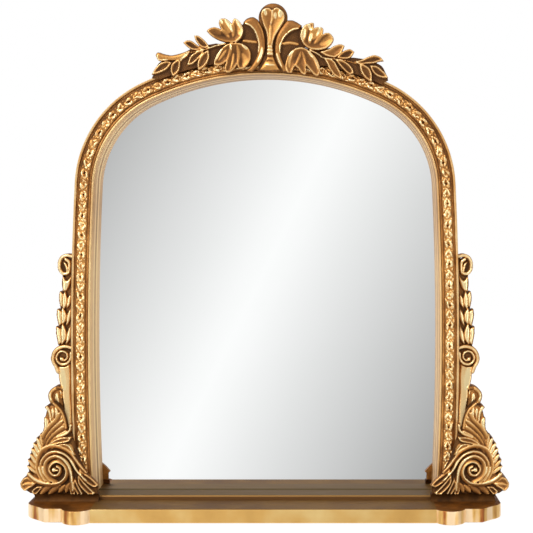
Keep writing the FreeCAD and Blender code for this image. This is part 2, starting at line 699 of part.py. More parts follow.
NODES = {
    "base_felt": base_felt(),
    "shelf_board": shelf_board().cut(BOARD_DOWELS),
    "left_plinth": left_of(right_plinth),
    "right_plinth": right_plinth,
    "left_foot_block": left_of(right_block),
    "right_foot_block": right_block,
    "left_stile": left_of(stile),
    "right_stile": stile,
    "arch_head": arch_head,
    "rosette_band": rosette_band(),
    "slip": slip(),
    "bottom_rail": bottom_rail(),
    "mirror_glass": pane(GLASS_Y, GLASS_T),
    "backing_card": pane(GLASS_Y + GLASS_T, CARD_T),
    "backing_board": pane(GLASS_Y + GLASS_T + CARD_T, BOARD_T),
    "crest_backplate": crest_backplate(frame_side, heart),
    "crest_cartouche": heart.cut(CREST_SCREWS),
    "crest_spray_left": crest_spray(-1, LEFT_LEAVES, LEFT_STEM, LEFT_SCROLL),
    "crest_spray_right": crest_spray(1, RIGHT_LEAVES, RIGHT_STEM, RIGHT_SCROLL),
    "left_husk_drop": left_of(right_husks),
    "right_husk_drop": right_husks,
    "left_scroll_bracket": left_of(right_bracket),
    "right_scroll_bracket": right_bracket,
    "left_acanthus_foot": left_of(right_foot),
    "right_acanthus_foot": right_foot,
    "stile_screws": STILE_SCREWS,
    "foot_screws": FOOT_SCREWS,
    "board_dowels": BOARD_DOWELS,
    "frame_dowels": FRAME_DOWELS,
    "crest_screws": CREST_SCREWS,
    "button_screws": BUTTON_SCREWS,
}
for number, (pivot, inward) in enumerate(PLACES, start=1):
    NODES[f"turn_button_{number}"] = turn_button(pivot, inward)

os.makedirs("parts", exist_ok=True)
for name, shape in NODES.items():
    shape.exportStep(f"parts/{name}.step")
    print(name, len(shape.Solids), "solids", round(shape.Volume / 1000, 2), "cm3", shape.isValid())
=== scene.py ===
"""Dress the gilded table mirror: base, arched frame, glass, carved feet, husks and crest."""
import math

import bpy
import numpy as np
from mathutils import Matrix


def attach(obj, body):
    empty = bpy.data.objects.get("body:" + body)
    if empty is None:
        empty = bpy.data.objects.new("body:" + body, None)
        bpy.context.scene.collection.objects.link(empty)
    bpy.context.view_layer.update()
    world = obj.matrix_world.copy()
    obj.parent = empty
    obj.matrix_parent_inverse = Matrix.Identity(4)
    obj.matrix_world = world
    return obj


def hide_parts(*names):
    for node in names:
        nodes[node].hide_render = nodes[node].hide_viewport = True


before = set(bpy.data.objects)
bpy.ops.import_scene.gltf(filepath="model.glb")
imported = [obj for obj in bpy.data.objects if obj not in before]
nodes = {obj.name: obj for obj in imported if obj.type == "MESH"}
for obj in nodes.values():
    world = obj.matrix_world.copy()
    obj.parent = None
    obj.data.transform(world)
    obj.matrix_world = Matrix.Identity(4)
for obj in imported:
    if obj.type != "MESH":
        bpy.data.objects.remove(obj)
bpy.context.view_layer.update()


# Base: a shelf board between two shaped plinths, with a low rail and two foot blocks painted
# dark as the shade under the carved feet, on a sheet of felt. Softwood under gesso, flat gold on
# the edges and brown glaze on top. The board is dowelled to the plinths, and the felt is glued on.

class Paint:
    """A shader value; arithmetic on it adds Math nodes to its material."""

    def __init__(self, tree, socket=None):
        self.tree = tree
        self.socket = socket

    def add(self, kind, inputs=(), out=0, stops=(), **settings):
        """Any node: its settings and ramp stops first, then its sockets' values or links."""
        node = self.tree.nodes.new(kind)
        for name, value in settings.items():
            setattr(node, name, value)
        if stops:
            ramp = node.color_ramp
            for _ in stops[2:]:
                ramp.elements.new(1.0)
            for element, (place, colour) in zip(ramp.elements, stops):
                element.position = place
                element.color = colour
        for key, value in dict(inputs).items():
            if isinstance(value, Paint):
                self.tree.links.new(value.socket, node.inputs[key])
            else:
                node.inputs[key].default_value = value
        return Paint(self.tree, node.outputs[out] if node.outputs else None)

    def maths(self, operation, *values, clamp=False):
        return self.add("ShaderNodeMath", enumerate(values), operation=operation, use_clamp=clamp)

    def __add__(self, other):
        return self.maths("ADD", self, other)

    __radd__ = __add__

    def __sub__(self, other):
        return self.maths("SUBTRACT", self, other)

    def __rsub__(self, other):
        return self.maths("SUBTRACT", other, self)

    def __mul__(self, other):
        return self.maths("MULTIPLY", self, other)

    __rmul__ = __mul__

    def clamped(self):
        return self.maths("ADD", self, 0.0, clamp=True)

    def mix(self, first, second):
        """Colour between two colours, by this value."""
        return self.add("ShaderNodeMix", {0: self, 6: first, 7: second}, out=2, data_type="RGBA")

    def ramp(self, *stops):
        return self.add("ShaderNodeValToRGB", {0: self}, stops=stops)

    def noise(self, place, scale, detail=3.0):
        return self.add("ShaderNodeTexNoise", {"Vector": place, "Scale": scale, "Detail": detail})

    def place(self, *stretch):
        """Object coordinates, stretched along each axis."""
        here = self.add("ShaderNodeTexCoord", out="Object")
        return self.add("ShaderNodeVectorMath", {0: here, 1: stretch or (1, 1, 1)},
                        operation="MULTIPLY")

    def axis(self, name, vector=None):
        """One coordinate of a vector, or else of the place on the object."""
        return self.add("ShaderNodeSeparateXYZ", {0: vector or self.place()}, out=name)

    def upward(self):
        """How far the surface faces up."""
        return self.axis("Z", self.add("ShaderNodeNewGeometry", out="Normal"))

    def topside(self):
        """1 on faces that look up and 0 on upright ones."""
        return ((self.upward() - TOP_SLOPE) * TOP_RISE).clamped()

    def wash(self):
        """Height of the gilding, as the points of the mesh hold it."""
        return self.add("ShaderNodeAttribute", out="Fac", attribute_name="wash")

    def bump(self, height, strength, distance):
        return self.add("ShaderNodeBump", {"Height": height, "Strength": strength,
                                           "Distance": distance})


def hue(red, green, blue):
    """Colour of a finish, given as screen values from 0 to 255."""
    def linear(value):
        value /= 255
        return value / 12.92 if value <= 0.04045 else ((value + 0.055) / 1.055) ** 2.4

    return (linear(red), linear(green), linear(blue), 1.0)


def finish(name):
    """New material, and the empty Paint to build it with."""
    made = bpy.data.materials.new(name)
    made.use_nodes = True
    made.node_tree.nodes.clear()
    return made, Paint(made.node_tree)


def surface(paint, **sockets):
    """Principled surface; a name's underscores stand for spaces."""
    body = paint.add("ShaderNodeBsdfPrincipled",
                     {name.replace("_", " "): value for name, value in sockets.items()})
    paint.add("ShaderNodeOutputMaterial", {"Surface": body})


def coat(material, *names):
    """Give CAD nodes one material."""
    for name in names:
        slots = nodes[name].data.materials
        slots.clear()
        slots.append(material)


EDGE_GOLD = hue(225, 178, 102)
EDGE_PALE = hue(240, 208, 140)
EDGE_WORN = hue(216, 168, 94)
TOP_BROWN = hue(112, 80, 34)
TOP_DARK = hue(88, 58, 26)
TOP_SLOPE = 0.35
TOP_RISE = 3.0

flat_gilt, paint = finish("flat_gilt")
brushed = paint.noise(paint.place(0.12, 1, 1), 420.0)
cloudy = paint.noise(paint.place(), 28.0)
top = paint.topside()
gold = cloudy.ramp((0.32, EDGE_WORN), (0.46, EDGE_GOLD), (0.72, EDGE_PALE))
glaze = (cloudy * 0.6 + brushed * 0.4).ramp((0.36, TOP_DARK), (0.62, TOP_BROWN))
surface(paint, Base_Color=top.mix(gold, glaze), Metallic=0.8 - top * 0.4,
        Roughness=0.30 + brushed * 0.12 + top * 0.2, Specular_IOR_Level=0.2,
        Normal=paint.bump(brushed, 0.12, 0.0004))
coat(flat_gilt, "shelf_board")

PLINTH_HIGHLIGHT_PALE = hue(250, 218, 174)
PLINTH_RUST = hue(168, 98, 48)
PLINTH_TOP = hue(122, 72, 20)
PLINTH_SHADE = hue(80, 44, 8)

plinth_gilt, paint = finish("plinth_gilt")
flutes = paint.noise(paint.place(1, 0.6, 0.08), 95.0, 2.0)
cloudy = paint.noise(paint.place(1, 1, 0.5), 60.0)
top = paint.topside()
# Pale streaks on the plinth fronts are painted highlights; the rust streaks are the gilding's own colour.
rust_and_highlight_streaks = flutes * 0.7 + cloudy * 0.3
gold = rust_and_highlight_streaks.ramp((0.40, PLINTH_RUST), (0.47, EDGE_GOLD), (0.56, PLINTH_HIGHLIGHT_PALE))
glaze = cloudy.ramp((0.36, PLINTH_SHADE), (0.66, PLINTH_TOP))
surface(paint, Base_Color=top.mix(gold, glaze), Metallic=0.45 - top * 0.05,
        Roughness=0.26 + cloudy * 0.12 + top * 0.25, Specular_IOR_Level=0.2,
        Normal=paint.bump(flutes, 0.5, 0.0022))
coat(plinth_gilt, "left_plinth", "right_plinth")

RAIL_TOP = hue(96, 69, 24)
RAIL_NOSE = hue(168, 126, 68)
RAIL_GLASS_SHADOW = hue(74, 56, 14)
RAIL_FRONT_SHADE = hue(122, 86, 50)
GLASS_SHADOW_Y = 0.0142
GLASS_SHADOW_RISE = 900.0

rail_gilt, paint = finish("rail_gilt")
# Painted shadow: the back of the rail top, where it meets the glass, is painted dark.
glass_shadow = ((paint.axis("Y") - GLASS_SHADOW_Y) * GLASS_SHADOW_RISE).clamped()
dust = paint.noise(paint.place(0.2, 1, 1), 260.0)
# Faces turned to the front are painted darker, as shade on the rail's front face.
tone = paint.upward().ramp((0.45, RAIL_FRONT_SHADE), (0.60, RAIL_NOSE), (0.80, RAIL_NOSE),
                           (0.92, RAIL_TOP))
surface(paint, Base_Color=glass_shadow.mix(tone, RAIL_GLASS_SHADOW), Metallic=0.7 - glass_shadow * 0.6,
        Roughness=0.42 + dust * 0.14 + glass_shadow * 0.3, Specular_IOR_Level=0.2,
        Normal=paint.bump(dust, 0.08, 0.0003))
coat(rail_gilt, "bottom_rail")

# Foot blocks: painted dark as the shade that falls under the carved feet.
BLOCK_SHADE_DARK = hue(56, 32, 8)
BLOCK_SHADE_BROWN = hue(96, 58, 20)

block_shade, paint = finish("block_shade")
rubbed = paint.noise(paint.place(), 90.0)
surface(paint, Base_Color=rubbed.ramp((0.35, BLOCK_SHADE_DARK), (0.65, BLOCK_SHADE_BROWN)), Metallic=0.6,
        Roughness=0.5 + rubbed * 0.15, Specular_IOR_Level=0.2, Normal=paint.bump(rubbed, 0.1, 0.0004))
coat(block_shade, "left_foot_block", "right_foot_block")

FELT_GREEN = hue(38, 58, 44)
FELT_LIGHT = hue(58, 82, 64)

felt, paint = finish("felt")
nap = paint.noise(paint.place(), 900.0, 6.0)
surface(paint, Base_Color=nap.mix(FELT_GREEN, FELT_LIGHT), Roughness=0.95, Sheen_Weight=0.4,
        Normal=paint.bump(nap, 0.5, 0.0006))
coat(felt, "base_felt")


# Frame: two stiles and an arch head of one gilded wood moulding, dowelled end to end where the
# frame is widest. It has a bright rim, a dark groove and the channel that holds the running band.

SIGHT_HALF = 162.0
WIDEST_Z = 165.0
SIDE_R = 2900.0
SHOULDER_R = 91.0
CROWN_R = 249.0
SIGHT_TOP = 405.8
FACE_W = 17.0
SLIP_W = 2.5
LIP_Y = -5.2
GLASS_Y = 17.6
BACK_Y = 24.6
REBATE = 6.0
BASE_TOP = 13.4
FRAME_HALF = SIGHT_HALF + FACE_W
FRAME_TOP = SIGHT_TOP + FACE_W
# Height where painted shade starts to darken the gilding over the arch and how much it darkens, and the run
# to full shade
FRAME_CROWN_SHADE = (270.0, 0.05)
CROWN_SHADE_RUN = 60.0


def arch_line(step, bottom):
    """Points and outward normals of the sight line, from the right foot to the left one."""
    side = np.array((SIGHT_HALF - SIDE_R, WIDEST_Z))
    crown = np.array((0.0, SIGHT_TOP - CROWN_R))
    inner, outer = CROWN_R - SHOULDER_R, SIDE_R - SHOULDER_R
    across = side - crown
    gap = np.hypot(*across)
    reach = (inner ** 2 - outer ** 2 + gap ** 2) / (2 * gap)
    rise = math.sqrt(inner ** 2 - reach ** 2)
    along = across / gap
    shoulder = crown + along * reach + np.array((along[1], -along[0])) * rise
    spring = math.atan2(*(shoulder - side)[::-1])
    haunch = math.atan2(*(shoulder - crown)[::-1])
    foot = -math.asin((WIDEST_Z - bottom) / SIDE_R)
    points, normals = [], []
    for centre, radius, start, end in ((side, SIDE_R, foot, spring),
                                       (shoulder, SHOULDER_R, spring, haunch),
                                       (crown, CROWN_R, haunch, math.pi / 2)):
        count = max(2, round(radius * (end - start) / step))
        angles = np.linspace(start, end, count, endpoint=False)
        out = np.stack((np.cos(angles), np.sin(angles)), axis=1)
        points.append(centre + out * radius)
        normals.append(out)
    points, normals = np.concatenate(points), np.concatenate(normals)
    crown_top, up = np.array([(0.0, SIGHT_TOP)]), np.array([(0.0, 1.0)])
    flip = np.array((-1.0, 1.0))
    return (np.concatenate((points, crown_top, (points * flip)[::-1])),
            np.concatenate((normals, up, (normals * flip)[::-1])))


def side_out(z):
    """X of the frame's outer side at a height."""
    return SIGHT_HALF - SIDE_R + np.sqrt((SIDE_R + FACE_W) ** 2 - (z - WIDEST_Z) ** 2)


def piece(name, points, faces, material, smooth, wash):
    """Closed mesh from millimetres, with the wash at its points, riding on the mirror."""
    mesh = bpy.data.meshes.new(name)
    mesh.from_pydata((points * 0.001).tolist(), [], faces)
    layer = mesh.attributes.new("wash", "FLOAT", "POINT")
    layer.data.foreach_set("value", wash.astype(np.float32))
    mesh.materials.append(material)
    mesh.shade_smooth()
    mesh.set_sharp_from_angle(angle=math.radians(smooth))
    made = bpy.data.objects.new(name, mesh)
    bpy.context.collection.objects.link(made)
    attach(made, "mirror")
    return made


def clipped(values):
    """Values held between 0 and 1."""
    return np.clip(values, 0.0, 1.0)


def ringed(name, rings, material, smooth, wash):
    """Closed mesh through rings of points, capped at both ends."""
    n, m = wash.shape
    faces = []
    for i in range(n - 1):
        for j in range(m):
            k = (j + 1) % m
            faces.append((i * m + j, (i + 1) * m + j, (i + 1) * m + k, i * m + k))
    faces.append(tuple(range(m)))
    faces.append(tuple(range(n * m - 1, (n - 1) * m - 1, -1)))
    return piece(name, rings.reshape(-1, 3), faces, material, smooth, wash.ravel())


def sweep(name, section, line, material, crown_shade):
    """Moulding: a closed section of (outward, y, wash) points along the arch, with painted shade darkening
    it at the top.
    """
    spots, outs = line
    out, y, wash = np.array(section).T
    flat = spots[:, None, :] + outs[:, None, :] * out[None, :, None]
    rings = np.empty(flat.shape[:2] + (3,))
    rings[..., 0] = flat[..., 0]
    rings[..., 1] = y
    rings[..., 2] = np.maximum(flat[..., 1], BASE_TOP)
    start, most = crown_shade
    top_shade = most * clipped((spots[:, 1:] - start) / CROWN_SHADE_RUN)
    return ringed(name, rings, material, 40, wash - top_shade)


GILT_DARK = hue(76, 48, 24)
GILT_BROWN = hue(146, 97, 50)
GILT_MID = hue(210, 153, 84)
GILT_BRIGHT = hue(255, 230, 174)


def gilding(name, clouds, worn):
    """Antique gold: brown wash in the hollows, burnished metal on the heights, and painted light from below:
    faces turned up a little darker, faces turned down a little lighter.
    """
    made, paint = finish(name)
    relief = paint.wash()
    patches = paint.noise(paint.place(), clouds)
    specks = paint.noise(paint.place(), 900.0, 2.0)
    # Faces turned up are painted darker and faces turned down lighter, as painted light from below.
    height = relief + (patches - 0.5) * worn + (specks - 0.5) * 0.16 - paint.upward() * 0.06
    colour = height.ramp((0.04, GILT_DARK), (0.26, GILT_BROWN), (0.48, GILT_MID),
                         (0.82, GILT_BRIGHT))
    surface(paint, Base_Color=colour, Metallic=(0.60 + height * 0.5).clamped(),
            Roughness=0.56 - height * 0.28, Specular_IOR_Level=0.2,
            Normal=paint.bump(specks, 0.14, 0.0005))
    return made


gilt_frame = gilding("gilt_frame", 60.0, 0.5)

# Outward and y of each corner of the moulding, with the height of its gilding
FRAME_SECTION = (
    (REBATE, BACK_Y, 0.3), (REBATE, GLASS_Y, 0.2), (SLIP_W, GLASS_Y, 0.2), (SLIP_W, -4.0, 0.2),
    (1.3, -4.4, 0.2), (1.3, -5.0, 0.2), (1.9, -5.4, 0.34), (2.8, -5.0, 0.34), (3.6, -4.4, 0.26),
    (4.4, -3.6, 0.26), (12.6, -3.8, 0.42), (13.2, -3.5, 0.40), (13.5, -3.0, 0.33), (14.3, -3.0, 0.31),
    (14.5, -3.6, 0.42), (14.8, -4.8, 0.57), (15.5, -5.2, 0.64), (16.4, -5.1, 0.66), (16.8, -4.2, 0.56),
    (FACE_W, -2.6, 0.48), (FACE_W, 6.0, 0.38), (FACE_W, 22.0, 0.36), (16.2, 24.2, 0.36), (15.0, BACK_Y, 0.3))
whole_line = arch_line(3.0, BASE_TOP)
heights = whole_line[0][:, 1]
first_top = int(np.argmax(heights >= WIDEST_Z))
last_top = len(heights) - first_top
for name, span in (("right_stile", slice(0, first_top + 1)),
                   ("arch_head", slice(first_top, last_top)),
                   ("left_stile", slice(last_top - 1, None))):
    line = (whole_line[0][span], whole_line[1][span])
    made = sweep(name + "_gilt", FRAME_SECTION, line, gilt_frame, FRAME_CROWN_SHADE)
    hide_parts(name)


# Running band: small blossoms round a drilled eye, taken in turn with crossed leaves and beads,
# pressed in composition and gilded. It is glued in the channel of the frame.

BAND_IN = 3.5
BAND_W = 9.2
BAND_FACE = LIP_Y + 0.6
BAND_BACK = LIP_Y + 2.0
BLOSSOM_PITCH = 18.6
BAND_STEP = BLOSSOM_PITCH / 42
BLOCK_TOP = 20.5
ARCH_START = 260.0
ARCH_RUN = 80.0


def swell(u, v, centre, radii, turn):
    """Rounded boss on the band: 1 at its centre and 0 at its rim."""
    c, s = math.cos(turn), math.sin(turn)
    a, b = u - centre[0], v - centre[1]
    far = ((a * c + b * s) / radii[0]) ** 2 + ((b * c - a * s) / radii[1]) ** 2
    return np.sqrt(clipped(1.0 - far))


def blossom_relief(u, v):
    """Height over one repeat: u runs along the band and v across it, in millimetres."""
    wide = np.abs(v)
    # Height, centre, radii and turn of the petals, leaves and beads on one half of the band
    bosses = ((1.7, (-3.9, 2.1), (2.7, 1.5), -0.3), (1.2, (-6.9, 1.7), (1.5, 1.6), 0.0),
              (1.0, (-1.0, 0.3), (1.2, 1.3), 0.0), (0.9, (-0.8, 3.1), (1.1, 0.9), 0.0),
              (1.6, (4.9, 2.0), (3.0, 1.5), -0.5), (1.1, (1.9, 1.0), (1.2, 1.2), 0.0),
              (1.0, (7.9, 0.4), (1.2, 1.2), 0.0), (0.9, (8.6, 3.0), (1.1, 0.9), 0.0))
    shapes = [high * swell(u, wide, *boss) for high, *boss in bosses]
    eye = 1.1 * swell(u, wide, (-5.3, 0.0), (1.0, 0.8), 0.0)
    bed = 0.7 * clipped(1.0 - (wide / (BAND_W / 2)) ** 6)
    return bed + np.maximum.reduce(shapes) - eye


spots, outs = arch_line(BAND_STEP, BLOCK_TOP)
band_s = np.arange(len(spots)) * BAND_STEP
band_w = np.linspace(-1.0, 1.0, 25)
s_grid, w_grid = np.meshgrid(band_s, band_w * BAND_W / 2, indexing="ij")
arched = clipped((spots[:, 1:] - ARCH_START) / ARCH_RUN)
# Slow drift, so that the flowers differ along the band
wander = 0.8 * np.sin(0.11 * s_grid + 0.5 * w_grid) + 0.5 * np.sin(0.83 * s_grid + 1.3 * w_grid)
lift = blossom_relief((s_grid + wander) % BLOSSOM_PITCH - BLOSSOM_PITCH / 2,
                      w_grid + 0.4 * np.sin(0.47 * s_grid))
lift *= 1.0 + 0.2 * np.sin(0.57 * s_grid + 1.1 * w_grid) - 0.35 * arched * band_w
offsets = BAND_IN + BAND_W * (band_w + 1) / 2
flat = spots[:, None, :] + outs[:, None, :] * offsets[None, :, None]
face = np.stack((flat[..., 0], BAND_FACE - lift, flat[..., 1]), axis=-1)
back = face[:, (-1, 0)]
back[..., 1] = BAND_BACK
# Painted shade: over the arch the band is painted darker, most on its outer half.
band_tone = clipped(0.17 + 0.34 * lift - arched * (0.14 + 0.06 * band_w))
back_tone = np.full(back.shape[:2], 0.1)
gilt_band = gilding("gilt_band", 90.0, 0.45)
band = ringed("rosette_band_gilt", np.concatenate((face, back), axis=1), gilt_band, 80,
              np.concatenate((band_tone, back_tone), axis=1))
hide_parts("rosette_band")


# Slip: a smooth liner from the lip of the frame back to the glass, in satin champagne gold
# with its lip painted bright as a highlight. Thin wood moulding, bent and glued inside the frame.

SLIP_FRONT = LIP_Y - 0.6
# Painted shade over the crown: the height where it starts on the liner, and how much it darkens
SLIP_CROWN_SHADE = (345.0, 0.30)
SLIP_SHADE = hue(176, 126, 64)
SLIP_GOLD = hue(228, 182, 122)
SLIP_LIP_HIGHLIGHT = hue(252, 222, 158)
# The liner is darker in a band round 285 mm up.
DARK_BAND_Z = 0.285
DARK_BAND_FALL = 16.0
# Painted shade near the feet: the liner is painted darker towards its bottom.
FOOT_SHADE_Z = 0.075
FOOT_SHADE_FALL = 16.0
# The liner is darker on the right side.
RIGHT_DARK_X = 0.08
RIGHT_DARK_RISE = 25.0

champagne, paint = finish("champagne_slip")
relief = paint.wash()
satin = paint.noise(paint.place(), 160.0)
up = paint.axis("Z")
dark_band = (1.0 - paint.maths("ABSOLUTE", up - DARK_BAND_Z) * DARK_BAND_FALL).clamped()
foot_shade = ((FOOT_SHADE_Z - up) * FOOT_SHADE_FALL).clamped()
right_side_dark = ((paint.axis("X") - RIGHT_DARK_X) * RIGHT_DARK_RISE).clamped()
tone = relief + (satin - 0.5) * 0.25 - dark_band * 0.24 - foot_shade * 0.18 - right_side_dark * 0.16
surface(paint, Base_Color=tone.ramp((0.25, SLIP_SHADE), (0.5, SLIP_GOLD), (0.9, SLIP_LIP_HIGHLIGHT)),
        Metallic=0.55, Roughness=0.36 + satin * 0.12, Normal=paint.bump(satin, 0.05, 0.0004))

# Outward and y of each corner of the liner, with the height of its gilding
# The bright wash at the lip and in a stripe part way back is painted highlight.
SLIP_SECTION = (
    (-0.8, GLASS_Y, 0.32), (-0.8, 15.6, 0.36), (-0.8, 14.2, 0.60), (-0.8, 12.6, 0.98), (-0.8, 10.0, 0.98),
    (-0.8, 8.4, 0.56), (-0.8, -4.2, 0.54), (-0.6, -5.3, 0.84), (0.0, SLIP_FRONT, 0.92), (0.7, -5.5, 0.60),
    (1.2, -4.9, 0.25), (1.2, -4.2, 0.2), (1.6, GLASS_Y, 0.3))
made = sweep("slip_champagne", SLIP_SECTION, whole_line, champagne, SLIP_CROWN_SHADE)
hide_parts("slip")


# Glass: a silvered arched sheet in the rebate, with a card behind it against scratches and a
# hardboard back held by the turn buttons.

SILVER = hue(253, 254, 254)
SILVER_DIM = hue(249, 251, 250)

silver, paint = finish("mirror")
haze = paint.noise(paint.place(), 9.0)
surface(paint, Base_Color=haze.mix(SILVER, SILVER_DIM), Metallic=1.0, Roughness=haze * 0.02)
coat(silver, "mirror_glass")

CARD_GREY = hue(150, 142, 128)
CARD_LIGHT = hue(178, 170, 154)

card, paint = finish("card")
pulp = paint.noise(paint.place(), 500.0, 6.0)
surface(paint, Base_Color=pulp.mix(CARD_GREY, CARD_LIGHT), Roughness=0.9)
coat(card, "backing_card")

BOARD_BROWN = hue(104, 72, 46)
BOARD_LIGHT = hue(138, 100, 66)

hardboard, paint = finish("backing")
fibres = paint.noise(paint.place(), 700.0, 6.0)
stain = paint.noise(paint.place(), 12.0)
surface(paint, Base_Color=(fibres * 0.6 + stain * 0.4).ramp((0.35, BOARD_BROWN),
                                                            (0.65, BOARD_LIGHT)),
        Roughness=0.62 + fibres * 0.2, Normal=paint.bump(fibres, 0.2, 0.0003))
coat(hardboard, "backing_board")


# Crest: a heart-headed cartouche between two sprays of leaves and bellflowers, on a ground
# plate that stands on the crown. Cast composition, gilded, with brown wash left in the hollows,
# and screwed on from behind.

GRAIN = 0.4
CARVING_Y = -7.3
CREST_X = 5.2
CREST_Z = FRAME_TOP + 2.0
CREST_THICK = 0.8
CREST_REST = 1.2
FRAME_CLEAR = 8.0
TIP_CLEAR = 4.5
TIP_RUN = 20.0
GROUND_TONE = 0.12
HOLLOW_TONE = 0.11
PETAL_TONE = 0.11
RIM_TONE = 0.50
BLOOM_RIM = 0.60
# Painted highlight along the middle of each leaf's hollow
MIDLINE_HIGHLIGHT = 0.06
RIB_TONE = 0.42
EDGE_HIGHLIGHT_TONE = 0.86
GLEAM_TONE = 0.95
BACK_TONE = 0.36


def flowing(points, steps=12):
    """Points along a smooth curve through the given ones."""
    knots = np.array(points, dtype=float)
    ends = 2 * knots[0] - knots[1], 2 * knots[-1] - knots[-2]
    knots = np.concatenate(([ends[0]], knots, [ends[1]]))
    t = np.linspace(0.0, 1.0, steps, endpoint=False)[:, None]
    runs = []
    for a, b, c, d in zip(knots, knots[1:], knots[2:], knots[3:]):
        runs.append(b + 0.5 * t * (c - a + t * (2 * a - 5 * b + 4 * c - d
                                                + t * (3 * (b - c) + d - a))))
    return np.concatenate(runs + [knots[-2:-1]])


def rounded(inside, wide):
    """Section of a rib."""
    return np.sqrt(clipped(1.0 - (1.0 - inside / wide) ** 2))


def rim_width(wide):
    """How wide the rim of a shape is."""
    return np.minimum(0.9, 0.35 * wide)


def dished(inside, wide):
    """Section of a leaf: a hollow inside a raised rim."""
    rim = rim_width(wide)
    bowl = 0.15 + 0.85 * clipped(1.0 - (inside - rim) / np.maximum(wide - rim, 0.1)) ** 2
    return np.where(inside < rim, rounded(inside, rim), bowl)


def level(inside, wide):
    """Section of a plain ground with soft edges."""
    return np.sqrt(clipped(1.0 - (1.0 - inside / wide) ** 8))


def pointed(t):
    """Width of a lobe along its length, blunt at the stalk and sharp at the tip."""
    return np.sin(np.pi * (0.10 + 0.90 * t)) ** 0.6


def spindle(t):
    """Width of a gleam, thin at both ends."""
    return np.sin(np.pi * t) ** 0.5


def even(t):
    """Width of a rib, the same to its rounded ends."""
    return np.sqrt(clipped(1.0 - np.abs(2 * t - 1) ** 10))


def full(t):
    """Width of a strand, the same all along."""
    return np.ones_like(t)


def thinning(t):
    """Width of a rib that dies away."""
    return 1.0 - 0.7 * t


def coiling(t):
    """Width of a strand that winds in to an eye."""
    return 1.0 - 0.4 * t


def softened(values, weight, radius):
    """Values averaged over a radius, counting only where there is carving."""
    reach = int(3 * radius / GRAIN)
    bell = np.exp(-0.5 * (np.arange(-reach, reach + 1) * GRAIN / radius) ** 2)

    def spread(field):
        for axis in (0, 1):
            field = np.apply_along_axis(np.convolve, axis, field, bell, "same")
        return field

    return spread(values * weight) / np.maximum(spread(weight), 1e-6)


